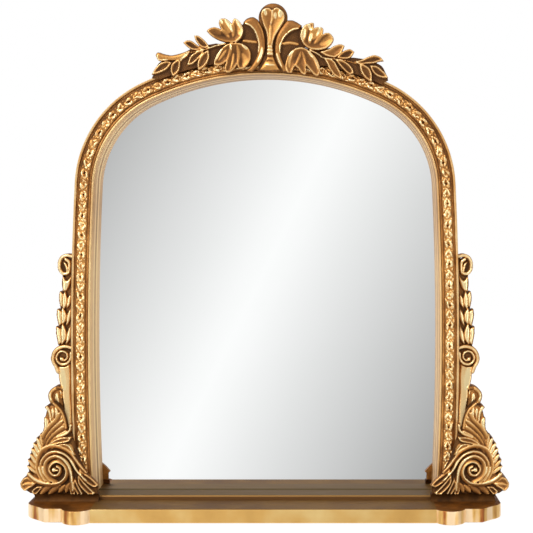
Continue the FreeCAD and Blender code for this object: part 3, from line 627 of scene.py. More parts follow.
class Relief:
    """Carving laid as shapes and strokes over a fine grid, then sawn out round them."""

    # Height and tone across a rolled strand, from its side in painted shadow to its edge in painted
    # highlight
    ROLL_PLACES = (0.0, 0.2, 0.55, 0.8, 0.92, 1.0)
    ROLL_HEIGHTS = (0.05, 0.3, 0.75, 1.0, 0.9, 0.4)
    ROLL_TONES = (0.22, 0.27, 0.34, 0.44, 0.62, 0.38)

    def __init__(self, low, high):
        self.columns = np.arange(low[0], high[0], GRAIN)
        self.rows = np.arange(low[1], high[1], GRAIN)
        self.x, self.z = np.meshgrid(self.columns, self.rows)
        self.height = np.zeros(self.x.shape)
        self.tone = np.full(self.x.shape, GROUND_TONE)
        self.within = np.full(self.x.shape, -2.0)

    def window(self, line, margin):
        """Part of the grid round a line."""
        low, high = line.min(axis=0) - margin, line.max(axis=0) + margin
        left, right = np.searchsorted(self.columns, (low[0], high[0]))
        foot, head = np.searchsorted(self.rows, (low[1], high[1]))
        return np.s_[foot:head, left:right]

    def along(self, points, half, width):
        """How far grid points lie inside a stroke, its half width there, and their side of it."""
        line = flowing(points)
        halves = np.maximum(half * width(np.linspace(0.0, 1.0, len(line))), 0.15)
        area = self.window(line, half + 1.5)
        x, z = self.x[area], self.z[area]
        near = np.hypot(x[..., None] - line[:, 0], z[..., None] - line[:, 1]).argmin(axis=-1)
        dx, dz = x - line[near, 0], z - line[near, 1]
        run = np.gradient(line, axis=0)[near]
        gap, wide = np.hypot(dx, dz), halves[near]
        return area, wide - gap, wide, np.sign(run[..., 0] * dz - run[..., 1] * dx) * gap / wide

    def around(self, edges):
        """How far grid points lie inside a closed line of edges, each running to the next one's start."""
        line = np.concatenate([flowing(edge + after[:1], 6)[:-1]
                               for edge, after in zip(edges, edges[1:] + edges[:1])])
        area = self.window(line, 1.5)
        x, z = self.x[area][..., None], self.z[area][..., None]
        end = np.roll(line, -1, axis=0)
        run = end - line
        dx, dz = x - line[:, 0], z - line[:, 1]
        t = clipped((dx * run[:, 0] + dz * run[:, 1]) / (run ** 2).sum(axis=1))
        gap = np.hypot(dx - t * run[:, 0], dz - t * run[:, 1]).min(axis=-1)
        spans = (line[:, 1] > z) != (end[:, 1] > z)
        rise = np.where(run[:, 1] == 0, 1.0, run[:, 1])
        crossings = (spans & (dx < dz * run[:, 0] / rise)).sum(axis=-1)
        return area, np.where(crossings % 2 == 1, gap, -gap)

    def lay(self, area, inside, raised, tone):
        """Lay a shape over what is there already."""
        self.height[area] = np.where(inside > 0, raised, self.height[area])
        self.tone[area] = np.where(inside > 0, tone, self.tone[area])
        self.within[area] = np.maximum(self.within[area], inside)

    def shape(self, edges, rise, lift, section, middle, rim, midline_highlight=0.0):
        """Closed shape, with the tones of its middle and its rim and the painted highlight added along its
        middle.
        """
        area, inside = self.around(edges)
        held = np.maximum(inside, 0.0)
        wide = np.full(held.shape, held.max())
        ease = clipped((held / rim_width(wide) - 0.7) / 1.4)
        tone = rim + (middle - rim) * ease + midline_highlight * (held / wide) ** 2
        self.lay(area, inside, lift + rise * section(held, wide), tone)

    def leaf(self, *edges, rise=2.4, lift=1.0, tone=HOLLOW_TONE, rim=RIM_TONE):
        self.shape(edges, rise, lift, dished, tone, rim, MIDLINE_HIGHLIGHT)

    def bloom(self, *edges, rise, lift):
        self.shape(edges, rise, lift, dished, PETAL_TONE, BLOOM_RIM)

    def pad(self, *edges, rise=2.4, lift=1.2, tone=0.78, rim=0.34, section=rounded):
        self.shape(edges, rise, lift, section, tone, rim)

    def plate(self, *edges, rise=0.6, tone=GROUND_TONE):
        """Ground, matted all over with a punch."""
        area, inside = self.around(edges)
        held = np.maximum(inside, 0.0)
        x, z = self.x[area], self.z[area]
        pricks = np.sin(2.6 * x + 0.7 * z) * np.sin(2.3 * z - 0.6 * x)
        self.lay(area, inside, rise * level(held, held.max()) + 0.15 * pricks, tone + 0.05 * pricks)

    def rib(self, points, half, rise, lift=1.0, width=even, tone=RIB_TONE):
        area, inside, wide, _ = self.along(points, half, width)
        self.lay(area, inside, lift + rise * rounded(np.maximum(inside, 0.0), wide), tone)

    def lobe(self, points, half, tone, rise=2.2, lift=1.2):
        """Pointed lobe whose tone falls to mid brown at its edges, painted shade where they dip."""
        area, inside, wide, across = self.along(points, half, pointed)
        raised = lift + rise * rounded(np.maximum(inside, 0.0), wide)
        self.lay(area, inside, raised, 0.26 + (tone - 0.26) * (1.0 - across ** 2))

    def edge(self, points, half, lift):
        """Painted highlight line along a rib."""
        self.rib(points, half, 0.8, lift, even, EDGE_HIGHLIGHT_TONE)

    def boss(self, centre, radius, rise, lift=1.0, tone=RIM_TONE, section=rounded):
        inside = radius - np.hypot(self.x - centre[0], self.z - centre[1])
        held = np.maximum(inside, 0.0)
        self.lay(np.s_[:, :], inside, lift + rise * section(held, radius), tone)

    def roll(self, points, half, lift, width=full, rise=2.2):
        """Strand that turns up to an edge painted as a highlight on its right and sinks in painted shadow on
        its left.
        """
        area, inside, _, across = self.along(points, half, width)
        turn = clipped(0.5 - 0.5 * across)
        self.lay(area, inside, lift + rise * np.interp(turn, self.ROLL_PLACES, self.ROLL_HEIGHTS),
                 np.interp(turn, self.ROLL_PLACES, self.ROLL_TONES))

    def fold(self, *strokes, rise=0.6, tone=0.36):
        """Soft folds that swell out of what is there already; the tone they carry paints highlight where
        lighter and shade where darker.
        """
        for points, half in strokes:
            area, inside, wide, _ = self.along(points, half, spindle)
            swelling = rounded(np.maximum(inside, 0.0), wide)
            self.height[area] += rise * swelling
            self.tone[area] += (tone - self.tone[area]) * swelling

    def gleam(self, *strokes):
        self.fold(*strokes, rise=0.4, tone=GLEAM_TONE)

    def light_and_shade_patches(self, *patches):
        """Patches of painted light and shade: a tone above what lies there paints a highlight, one below it
        paints shade.
        """
        for points, half, tone in patches:
            self.fold((points, half), rise=0.0, tone=tone)

    def trim(self, within):
        """Saw away whatever lies outside a line."""
        self.within = np.minimum(self.within, within)

    def saw(self, name, place, hand, front, back, material):
        """Closed mesh: the carved face, the sawn edge and a flat back."""
        w = self.within
        cells = (w[:-1, :-1] + w[1:, :-1] + w[:-1, 1:] + w[1:, 1:]) > 0
        # Cells that meet only at a corner are filled out, which keeps the mesh closed
        for _ in range(3):
            a, b, c, d = cells[:-1, :-1], cells[1:, 1:], cells[1:, :-1], cells[:-1, 1:]
            rows, columns = np.nonzero((a & b & ~c & ~d) | (~a & ~b & c & d))
            for i, j in ((0, 0), (0, 1), (1, 0), (1, 1)):
                cells[rows + i, columns + j] = True
        touch = np.zeros(w.shape, dtype=int)
        for i, j in ((0, 0), (0, 1), (1, 0), (1, 1)):
            touch[i:i + cells.shape[0], j:j + cells.shape[1]] += cells
        used = touch > 0
        # Points of the sawn edge move onto the outline, by 0.6 of a cell at most
        slope_z, slope_x = np.gradient(w, GRAIN)
        steep = np.maximum(np.hypot(slope_x, slope_z), 0.3)
        shift = np.where(touch < 4, np.clip(-w / steep, -0.6 * GRAIN, 0.6 * GRAIN), 0.0)
        x = (self.x + shift * slope_x / steep)[used] * hand + place[0]
        z = (self.z + shift * slope_z / steep)[used] + place[1]
        mask = used.astype(float)
        height = softened(self.height, mask, 0.35)
        fine = height - softened(height, mask, 0.9)
        broad = height - softened(height, mask, 3.5)
        tone = softened(self.tone, mask, 0.4)
        wash = clipped(tone + 0.22 * fine + 0.08 * broad)[used]
        faces_front = np.stack((x, front - height[used], z), axis=1)
        faces_back = np.stack((x, np.broadcast_to(back, w.shape)[used], z), axis=1)
        number = np.cumsum(used.ravel()).reshape(w.shape) - 1
        count = int(used.sum())
        r, c = np.nonzero(cells)
        quads = np.stack((number[r, c], number[r, c + 1], number[r + 1, c + 1], number[r + 1, c]),
                         axis=1)
        walls = []
        padded = np.pad(cells, 1)
        # Neighbour below, right, above and left of a cell, and the corners of the side between
        for (di, dj), (ai, aj), (bi, bj) in (((0, 1), (0, 0), (0, 1)), ((1, 2), (0, 1), (1, 1)),
                                             ((2, 1), (1, 1), (1, 0)), ((1, 0), (1, 0), (0, 0))):
            open_side = ~padded[di:di + cells.shape[0], dj:dj + cells.shape[1]] & cells
            r, c = np.nonzero(open_side)
            start, end = number[r + ai, c + aj], number[r + bi, c + bj]
            walls.append(np.stack((end, start, start + count, end + count), axis=1))
        faces = np.concatenate([quads, quads[:, ::-1] + count] + walls)
        if hand < 0:
            faces = faces[:, ::-1]
        return piece(name, np.concatenate((faces_front, faces_back)), faces.tolist(), material, 70,
                     np.concatenate((wash, np.full(count, BACK_TONE))))


gilt_carving = gilding("gilt_carving", 45.0, 0.22)
coat(gilt_carving, "crest_backplate")


def above_crown(relief, distance):
    """How far outside the crown's sight line each grid point lies, less a distance."""
    return np.hypot(relief.x + CREST_X, relief.z + CREST_Z - SIGHT_TOP + CROWN_R) - CROWN_R - distance


def clear_of_frame(spray, start):
    """Saw a spray off above the frame, and higher from a start out towards its tip."""
    rising = clipped((np.abs(spray.x) - start) / TIP_RUN)
    spray.trim(above_crown(spray, FRAME_CLEAR + TIP_CLEAR * rising))


left_spray = Relief((-114, -34), (4, 44))
left_spray.plate(
    ((-109, -24), (-105, -15), (-101, -9), (-90, -7.5), (-83, -5), (-75, 2), (-61, 6)),
    ((-50, 8), (-35, 6), (-27, 9), (-27, 22)), ((-25, 26.5), (-13, 20), (-7.5, 4.5)),
    ((-10.5, -20.5), (-41.5, -22), (-73.5, -27)))
clear_of_frame(left_spray, 25)
left_spray.rib(((-26, 10.5), (-11.5, 9)), 1.3, 1.2, 0.6)
left_spray.pad(
    ((-25, 27), (-21.5, 30.5), (-16, 32)),
    ((-11.5, 29.5), (-7.5, 22.5), (-5, 13.5), (-4.5, 5), (-6.5, -4), (-10.5, -12)),
    ((-17, -18.5), (-21.5, -17), (-18.5, -14), (-15, -8.5), (-12, -2), (-10.5, 5), (-12, 13),
     (-14.5, 19.5), (-18.5, 23.5)), tone=0.21, rim=0.27)
left_spray.fold((((-12, 28), (-7.5, 19.5), (-6, 12)), 0.8))
left_spray.gleam((((-7.5, 4), (-8.5, -3), (-12, -10)), 1.4))
left_spray.edge(
    ((-23.5, 26), (-18.5, 24), (-14.5, 19.5), (-12, 13.5), (-10.5, 6.5), (-11.5, -1)), 0.7, 2.6)
left_spray.leaf(
    ((-90, -9.5), (-95.5, -8.5), (-101, -10.5), (-105.5, -15)),
    ((-109, -21), (-101, -19), (-94.5, -15.5)))
left_spray.pad(
    ((-73, 2), (-83, -1.5), (-90.5, -3), (-97, -2), (-101.5, -0.5)), ((-104, -0.5), (-105, -3.5)),
    ((-102.5, -8), (-92, -8), (-83, -7.5), (-76.5, -4.5)), tone=0.32, rim=0.4)
left_spray.edge(((-104, -3), (-102, -7.5), (-94, -7.5)), 0.6, 2.8)
left_spray.leaf(
    ((-83.5, -6.5), (-89, -9.5), (-91.5, -14.5), (-91, -19.5)),
    ((-89, -22.5), (-85, -19), (-83, -15), (-82.5, -9.5)))
left_spray.edge(((-74.5, -0.5), (-79.5, -4), (-82.5, -8.5)), 0.6, 1.6)
for lift, *edges in (
        (1.0, ((-61, 1.5), (-67, 0.5), (-72.5, -3), (-75, -7.5)),
         ((-76.5, -12.5), (-71, -11), (-66, -6.5), (-62, -2))),
        (1.4, ((-56.5, 2), (-61.5, -1), (-65.5, -6.5), (-67, -12)),
         ((-66, -17), (-60.5, -13.5), (-56.5, -7.5), (-56, -2))),
        (1.0, ((-60, 2.5), (-66.5, 6), (-72, 10), (-76.5, 10.5)),
         ((-80, 8.5), (-76.5, 5), (-72, 2), (-66.5, 1.5))),
        (1.4, ((-55.5, 4), (-58.5, 8.5), (-62.5, 12.5), (-66.5, 15)),
         ((-70, 15), (-68.5, 10.5), (-65.5, 6), (-61, 3.5)))):
    left_spray.leaf(*edges, lift=lift)
left_spray.rib(
    ((-41.5, 7.5), (-50, 5.5), (-57, 3), (-65.5, 1), (-74.5, -0.5)), 0.9, 1.2, 2.6, thinning, 0.6)
left_spray.bloom(
    ((-31.5, 8.5), (-39, 7.5), (-45, 3), (-49, -2), (-51.5, -7.5)),
    ((-52, -12), (-47, -12.5), (-43, -11)),
    ((-40.5, -9), (-42, -14), (-41.5, -18), (-38, -19), (-34, -16.5)),
    ((-30.5, -12), (-29, -15.5), (-25, -15.5), (-21, -12.5), (-18, -7), (-18, -1), (-20.5, 4),
     (-26, 7.5)), lift=2.0, rise=1.6)
left_spray.light_and_shade_patches(
    (((-42, 4), (-45, -2), (-49, -9)), 3.5, 0.13), (((-36, 0), (-36, -8), (-38, -18)), 3.0, 0.16),
    (((-24, 4), (-21, -3), (-23, -14)), 4.0, 0.22), (((-42, 2), (-45, -4), (-48, -10)), 2.0, 0.09),
    (((-34, 4), (-35, -5), (-36, -13)), 1.6, 0.12))
left_spray.fold((((-36, 6), (-37, 0), (-40, -9)), 1.4))
left_spray.fold((((-40, 2), (-44, -3.5), (-47.5, -8.5)), 1.2), rise=0.5, tone=0.46)
left_spray.fold((((-33.5, -1), (-34.5, -9), (-36.5, -16)), 1.2), rise=0.5, tone=0.5)
left_spray.light_and_shade_patches((((-26, -1), (-23, -8), (-25, -13.5)), 3.0, 0.42))
left_spray.fold((((-30.5, 6), (-29, -2), (-30, -12)), 1.8))
left_spray.gleam(
    (((-44, 3), (-47.5, -2), (-50, -7.5)), 1.2), (((-36.5, 7), (-36, 2)), 1.0),
    (((-25.5, 6.5), (-21, 2)), 1.2))
left_spray.bloom(
    ((-58.5, 19), (-55.5, 21.5), (-51.5, 22.5), (-47, 21.5)),
    ((-45, 20), (-47, 24.5), (-47, 28), (-45, 30.5), (-41.5, 30.5), (-38, 28.5)),
    ((-35, 25.5), (-34.5, 28.5), (-32.5, 30.5), (-29, 28.5), (-26, 24.5), (-24.5, 19), (-26.5, 13)),
    ((-31, 8.5), (-39, 8.5), (-47, 10.5), (-54, 14.5)), lift=2.2, rise=2.2)
left_spray.light_and_shade_patches(
    (((-57, 19), (-51, 19), (-45, 16)), 3.0, 0.26), (((-46, 30), (-41, 25), (-37, 17)), 4.0, 0.50),
    (((-33, 30), (-28, 24), (-28, 15)), 4.0, 0.46), (((-52, 14.5), (-42, 11), (-31, 11)), 3.0, 0.14))
left_spray.fold((((-46, 21), (-41.5, 18), (-37, 12.5)), 2.0), (((-35, 27), (-34, 21), (-34, 13)), 2.0))
left_spray.gleam(
    (((-41.5, 29), (-38, 25), (-34.5, 18)), 1.7), (((-31, 29.5), (-27.5, 22)), 1.2),
    (((-45.5, 29.5), (-44, 25.5)), 1.1))

right_spray = Relief((-4, -36), (114, 42))
right_spray.plate(
    ((108, -26), (106, -20), (101, -12), (88, -7), (80, -5.5), (75, -5)),
    ((64, -5), (55.5, 3.5), (43.5, 1), (34.5, 6), (28, 12)), ((29, 23), (21, 22.5), (12, 16), (8, 4.5)),
    ((12.5, -21.5), (36.5, -24), (68.5, -27), (93, -32.5)))
clear_of_frame(right_spray, 30)
right_spray.rib(((10.5, 7.5), (18, 8.5), (26, 7)), 1.3, 1.2, 0.6)
right_spray.pad(
    ((29, 24), (24.5, 27), (20, 29)), ((15, 29), (9.5, 22), (5.5, 14.5), (4, 6), (4, -1), (7, -10.5)),
    ((11.5, -18.5), (16, -17.5), (12.5, -11), (9.5, -4), (9, 2.5), (9.5, 9.5), (13.5, 16), (19, 20),
     (26, 21.5)), tone=0.21, rim=0.27)
right_spray.gleam((((5.5, -1), (7, -7), (10.5, -14)), 1.2))
right_spray.edge(((26, 21.5), (20, 20), (14.5, 16), (11, 11), (9, 5), (9, -1)), 0.7, 2.6)
for lift, tone, *edges in (
        (1.0, HOLLOW_TONE, ((76.5, -9), (84, -7), (89.5, -4.5), (95, -3), (100.5, -4.5)),
         ((104, -8.5), (99.5, -9), (95, -10.5), (88.5, -11), (82, -11.5))),
        (1.0, HOLLOW_TONE, ((91, -12), (97.5, -13), (102, -16.5), (106, -20.5)),
         ((108, -24), (101.5, -23.5), (96, -21), (92.5, -16.5))),
        (1.4, HOLLOW_TONE, ((81.5, -11), (82.5, -17.5), (86.5, -23.5)),
         ((93, -28), (93, -21.5), (91, -15.5), (86.5, -12))),
        (1.0, HOLLOW_TONE, ((59, -7), (65.5, -7.5), (71, -10.5), (75, -15)),
         ((76.5, -19.5), (72, -20.5), (67, -16.5), (63, -12))),
        (1.0, HOLLOW_TONE, ((60.5, -5.5), (64.5, -1), (68.5, 1.5), (73, 2.5)),
         ((77, 0), (75, -3.5), (72, -6), (66.5, -6.5))),
        (1.3, 0.26, ((44.5, 0), (53, 2.5), (57.5, 5), (61, 6.5), (64.5, 7)),
         ((68, 5.5), (66.5, 2), (64, -2)), ((59, -5.5), (52, -4))),
        (1.4, 0.24, ((48.5, -5.5), (51.5, -10.5), (54.5, -16.5), (59, -22)),
         ((66, -25.5), (65, -20.5), (62, -14.5), (58.5, -8.5), (53.5, -5.5)))):
    right_spray.leaf(*edges, lift=lift, tone=tone)
right_spray.rib(
    ((36.5, 1.5), (43.5, -2), (48.5, -5.5), (59, -6.5), (69.5, -8), (82, -11.5)), 0.9, 1.2, 2.6, thinning,
    0.6)
right_spray.bloom(
    ((27, 4.5), (21.5, 2.5), (17, -1.5), (14.5, -7), (13.5, -13)),
    ((15.5, -19.5), (19, -20), (20.5, -17)),
    ((22.5, -13), (25.5, -15.5), (27.5, -18.5), (31, -21), (33, -18.5)),
    ((32.5, -12.5), (36, -16.5), (39.5, -20.5), (43, -22), (45.5, -19), (45, -12), (42, -5.5), (37, 0),
     (31.5, 3.5)), lift=2.0, rise=1.6)
right_spray.light_and_shade_patches(
    (((23, 1), (18, -6), (17, -17)), 4.0, 0.22), (((28, -2), (28, -9), (30, -18)), 4.0, 0.16),
    (((35, -2), (40, -9), (43, -20)), 4.0, 0.18))
right_spray.fold((((28, 0), (26, -6), (23, -12.5)), 1.2))
right_spray.fold(
    (((20, -1), (17.5, -8), (17.5, -15)), 1.5), (((38, -3), (42, -10), (44, -17)), 1.3), rise=0.4,
    tone=0.52)
right_spray.fold((((29, 0.5), (31, -5.5), (32.5, -12)), 1.2))
right_spray.gleam((((21.5, 2), (16.5, -4)), 1.2), (((34, 1), (39, -5.5)), 1.0))
right_spray.bloom(
    ((29.5, 7.5), (27, 13.5), (28, 19.5), (31, 24), (35.5, 26), (39.5, 26.5)),
    ((40, 21.5), (42.5, 22.5), (46.5, 22.5), (48.5, 20.5)),
    ((48, 16), (51, 17.5), (55, 16.5), (58, 12), (56, 7), (51, 3), (44.5, 1.5), (38, 2), (33.5, 4)),
    lift=2.2, rise=2.2)
right_spray.light_and_shade_patches(
    (((37, 26), (31, 20), (30, 10)), 4.0, 0.46), (((46, 23), (43, 18), (38, 11)), 3.5, 0.48),
    (((56, 15), (52, 10), (45, 6)), 4.0, 0.42), (((31, 9), (36, 6), (47, 4.5)), 2.5, 0.15))
right_spray.fold((((40, 22), (37, 15.5), (36, 7)), 2.0), (((48, 17), (44.5, 12), (40, 7)), 2.0))
right_spray.gleam(
    (((31.5, 21), (30.5, 12)), 1.2), (((35, 25), (37.5, 19)), 1.5), (((38, 17), (35.5, 9)), 1.5),
    (((46, 22), (42.5, 14)), 1.3))

cartouche = Relief((-20, -26), (24, 52))
cartouche.plate(
    ((-12, -17), (-5, 2), (-9, 14)), ((-11, 26), (2, 30)), ((15, 26), (10, 12), (4.5, 2)), ((11, -17),),
    tone=0.18)
cartouche.boss((2.4, 31.4), 13.3, 1.4, 0.6, 0.28)
cartouche.pad(((-3.5, 8), (-3.5, 3)), ((-3, -4),), ((2.5, -4), (2.5, 3)), ((2.5, 8),), tone=0.4)
for up, half in ((4.5, 2.6), (1.5, 2.8), (-1.8, 3.2)):
    cartouche.rib(((-0.4 - half, up), (-0.4 + half, up)), 1.2, 0.8, 3.4, tone=0.58)
cartouche.pad(
    ((-3, -4), (-5, -8), (-7.5, -12)), ((-10, -16.5), (-1, -17.5)), ((8.5, -16.5), (6, -12), (4, -8)),
    ((2.5, -4),), tone=0.34, rise=2.4)
cartouche.fold((((-4, -8.5), (-0.5, -8), (3, -8.5)), 1.1), rise=-0.8, tone=0.16)
cartouche.gleam((((-5.5, -12), (4.5, -12)), 0.7))
cartouche.leaf(
    ((1.5, 38), (-1, 40), (-4, 40), (-7, 38.5), (-8.5, 35.5), (-8.5, 31.5), (-6.5, 24.5), (-4, 18),
     (-3, 11.5)), ((-3, 6),),
    ((2, 6), (3, 10), (5.5, 16), (9.5, 22.5), (12.5, 28), (13, 32.5), (12, 36), (9.5, 38.5),
     (6.5, 40.5), (4, 40)), tone=0.27, lift=3.0, rise=1.4)
cartouche.light_and_shade_patches(
    (((9, 38), (8, 32), (3, 20)), 4.5, 0.36), (((-5, 38), (-5, 32), (-1, 20)), 4.0, 0.28),
    (((0, 22), (0, 14), (-0.5, 6)), 3.0, 0.28))
cartouche.fold((((1.8, 39), (1.8, 33), (0.5, 24)), 1.6), rise=1.4, tone=0.44)
cartouche.fold((((0.5, 28), (0, 17), (-0.5, 7)), 1.2), rise=0.8, tone=0.46)
cartouche.gleam((((-5, 38.5), (-4, 33)), 1.6), (((4.5, 36), (4.5, 30)), 1.5), (((9, 38), (9, 31)), 2.0))
for name, relief in (("crest_spray_left", left_spray), ("crest_spray_right", right_spray),
                     ("crest_cartouche", cartouche)):
    relief.trim(above_crown(relief, CREST_REST))
    made = relief.saw(name + "_gilt", (CREST_X, CREST_Z), 1, CARVING_Y - CREST_THICK, CARVING_Y,
                      gilt_carving)
    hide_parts(name)


# Side carving: a drop of husks, a scrolled bracket and an acanthus foot down each side of the
# frame. Cast composition from one pattern, handed left and right, and gilded. The husks and the
# brackets are glued to the stiles, and the feet are screwed from below.

SIDE_BACK = LIP_Y + 16.0
SIDE_FRONT = LIP_Y + 7.0
FOOT_BACK = SIDE_BACK - 0.6
FOOT_FRONT = CARVING_Y - 2.0
STRIP_PROUD = 7.0
STRIP_TOP = 118.0
STRIP_RUN = 62.0
RUBBED = 0.04

husks = Relief((-8, 130), (20, 224))
husks.plate(
    ((1, 217), (6.5, 199), (7.5, 184), (10.5, 168.5), (11, 150.5)), ((12, 134),), ((-4, 134),),
    ((-4, 217),), tone=0.22)
husks.boss((6, 208), 7.0, 0.8, 0.0, GROUND_TONE, level)
husks.rib(
    ((-0.5, 216.5), (5, 217.5), (9.5, 215), (11.5, 209.5), (10.5, 203.5), (7, 200.5), (3, 202),
     (2, 206.5), (2.5, 211.5), (5.5, 214)), 1.6, 2.2, 1.6, full, 0.56)
for lift, tone, *edges in (
        (1.2, 0.9, ((8.5, 212), (6.5, 208)), ((5, 202), (3, 202.5), (4.5, 209.5))),
        (1.2, 0.78, ((8.5, 199.5), (9, 192)), ((8.5, 184), (4, 185.5), (1, 192)),
         ((0, 199), (4.5, 194.5))),
        (1.2, 0.78, ((11, 184.5), (12, 178)), ((10.5, 169), (7.5, 172), (7, 179), (9, 183.5))),
        (1.2, 0.78, ((1, 182), (4, 177.5)), ((5, 168), (1, 172.5), (0, 178))),
        (1.8, 0.8, ((6, 185), (8.5, 180), (9, 173.5)), ((8, 167), (4.5, 171.5), (4, 178.5))),
        (1.2, 0.78, ((13.5, 168), (14, 161.5)), ((12, 151.5), (8.5, 155.5), (8, 163.5), (10.5, 167))),
        (1.2, 0.78, ((1, 169), (4.5, 162.5)), ((5.5, 151.5), (1.5, 157), (0, 163.5))),
        (1.8, 0.8, ((8.5, 169.5), (10, 163.5)), ((9, 152.5), (5, 157.5), (5, 164.5))),
        (1.2, 0.8, ((14.5, 152), (14.5, 145)), ((12.5, 134), (8.5, 138.5), (8.5, 147), (11, 150.5))),
        (1.2, 0.78, ((1, 153), (4.5, 146)), ((6, 134), (1.5, 139.5), (0, 146))),
        (1.8, 0.8, ((8.5, 155.5), (10.5, 147.5)), ((9.5, 134), (5, 140.5), (5, 148.5)))):
    husks.pad(*edges, lift=lift, tone=tone)

bracket = Relief((-8, 53), (24, 142))
bracket.plate(((3, 132), (1, 102.5), (0.5, 61)), ((-2, 53.5), (-6, 84)), ((-6, 133),), tone=0.3)
bracket.pad(
    ((14, 117), (12.5, 111), (11.5, 103.5), (10, 97), (8.5, 90.5), (7.5, 81), (7, 72), (7, 62.5)),
    ((9, 55), (3, 54), (0, 57)), ((-0.5, 63.5), (0, 79.5), (1, 93), (1, 106)), ((2, 117),), tone=0.60,
    rim=0.50, rise=1.0, lift=0.8, section=level)
bracket.height += STRIP_PROUD * clipped((STRIP_TOP - bracket.z) / STRIP_RUN)
bracket.light_and_shade_patches((((10, 117), (8, 106), (6, 93)), 3.0, 0.85))
bracket.boss((8.5, 123.5), 9.2, 1.2, 0.0, 0.22, level)
bracket.rib(
    ((-0.5, 132), (6, 133.5), (12.5, 131.5), (16.5, 126.5), (17, 120), (14.5, 115), (12.5, 110)), 1.8,
    2.8, 1.8, full, 0.46)
bracket.rib(
    ((0.5, 127.5), (1, 122), (4, 118), (9, 117), (13, 119.5), (14, 124), (11.5, 128), (8, 129),
     (4.5, 127), (4, 123), (6.5, 120.5)), 1.5, 2.4, 1.6, coiling, 0.52)
# Painted highlight on the eye of the scroll.
bracket.pad(((11, 124), (10.5, 120.5)), ((7, 119.5), (7.5, 123)), tone=0.9, lift=2.0)
bracket.plate(
    ((8.5, 96), (15, 94), (18.5, 89), (18, 83), (12.5, 77.5)), ((5.5, 68), (6.7, 79.5), (8.1, 88.5)),
    rise=3.4, tone=0.36)
bracket.rib(
    ((9, 95.5), (14, 95), (18, 92), (19.5, 88), (18, 83), (14.5, 78.5), (10.5, 73.5), (6.5, 67)), 1.8,
    2.4, 3.2, full, 0.36)
bracket.fold((((8.5, 96), (11, 95.5), (14, 95)), 2.4), rise=-1.0, tone=0.12)
bracket.gleam((((19, 91), (19.5, 87.5), (18, 83.5)), 0.9))
# Painted highlight in the hollow of the loop.
bracket.pad(
    ((14.5, 91), (15.5, 86.5), (13.5, 82.5)), ((10.5, 81), (11, 86.5), (12, 90.5)), tone=0.95, rim=0.5,
    lift=3.4)
bracket.edge(((9.5, 92.5), (9, 85)), 0.7, 4.2)

foot = Relief((-32, -3), (48, 92))
foot.plate(
    ((31.5, -2.5), (40.5, 3.5), (43.5, 8.5), (41.5, 13), (37, 15.5), (37.5, 25), (36, 32), (34.5, 39.5),
     (31.5, 45), (29, 50.5), (25, 55), (22.5, 63)),
    ((21.5, 70.5), (18, 74), (19.5, 78), (17, 81.5), (13.5, 84), (9.5, 80.5), (6, 76), (3.5, 70),
     (2, 64)), ((0.5, 57), (-4, 48.5), (-8.5, 34), (-14, 23), (-19.5, 14)),
    ((-26, 6.5), (-23.5, -2), (-1.5, -2.5)), rise=0.8, tone=0.22)
foot.pad(
    ((22, 70), (19, 79), (12.5, 80), (7.5, 74), (4.5, 66)), ((3, 58), (14, 54)), ((23, 55), (23, 64)),
    tone=0.42, rim=0.3, rise=0.8, lift=0.8, section=level)
for tone, *edges in (
        (0.85, ((21, 70.5), (18, 67)), ((18.5, 60.5), (22.5, 55.5)), ((24, 53), (23, 62.5), (23, 69))),
        (0.85, ((22.5, 79), (20, 80.5), (17.5, 78), (16, 72)),
         ((15.6, 65), (17.8, 66.5), (18.4, 71), (19.7, 75.5))),
        (0.9, ((14.5, 79.5), (16.8, 76.5), (16, 72)), ((15.2, 65), (13.6, 71), (13, 75.5))),
        (0.85, ((12.6, 81), (13.2, 76.5), (12.9, 71.5)), ((13.5, 67), (11, 70), (9.6, 74), (10.6, 78))),
        (0.9, ((7, 74), (10, 73.5)), ((12, 70), (9, 67), (6, 69), (5.5, 71.5))),
        (0.8, ((6, 69.5), (7.5, 66)), ((8, 62), (4.5, 62.5), (3.6, 66)))):
    foot.pad(*edges, tone=tone)
foot.rib(
    ((14.5, 82.5), (11, 79.5), (7.8, 76), (5.6, 71.5), (3.9, 66), (3, 60)), 1.1, 1.2, 1.2, full, 0.42)
for line in (
        ((24, 36), (19.5, 43.5), (14, 49.5), (8, 53), (3, 55.5)),
        ((25.5, 35), (22.5, 43.5), (18, 50.5), (12.5, 55.5), (6, 60)),
        ((26, 36.5), (24, 45.5), (20.5, 52.5), (15, 58.5), (7, 65)),
        ((26.5, 39.5), (25.5, 47), (22.5, 55), (17, 62), (12, 67), (9, 72))):
    foot.roll(line, 2.4, 1.2)
foot.rib(((-1.5, 63), (-0.5, 58), (3.5, 54.5), (10.5, 52)), 1.1, 1.4, 2.2, full, 0.56)
foot.rib(
    ((21.5, 10.5), (27, 15), (30.5, 22), (31, 30.5), (29, 39.5), (25, 47.5)), 3.4, 1.6, 1.0, full, 0.34)
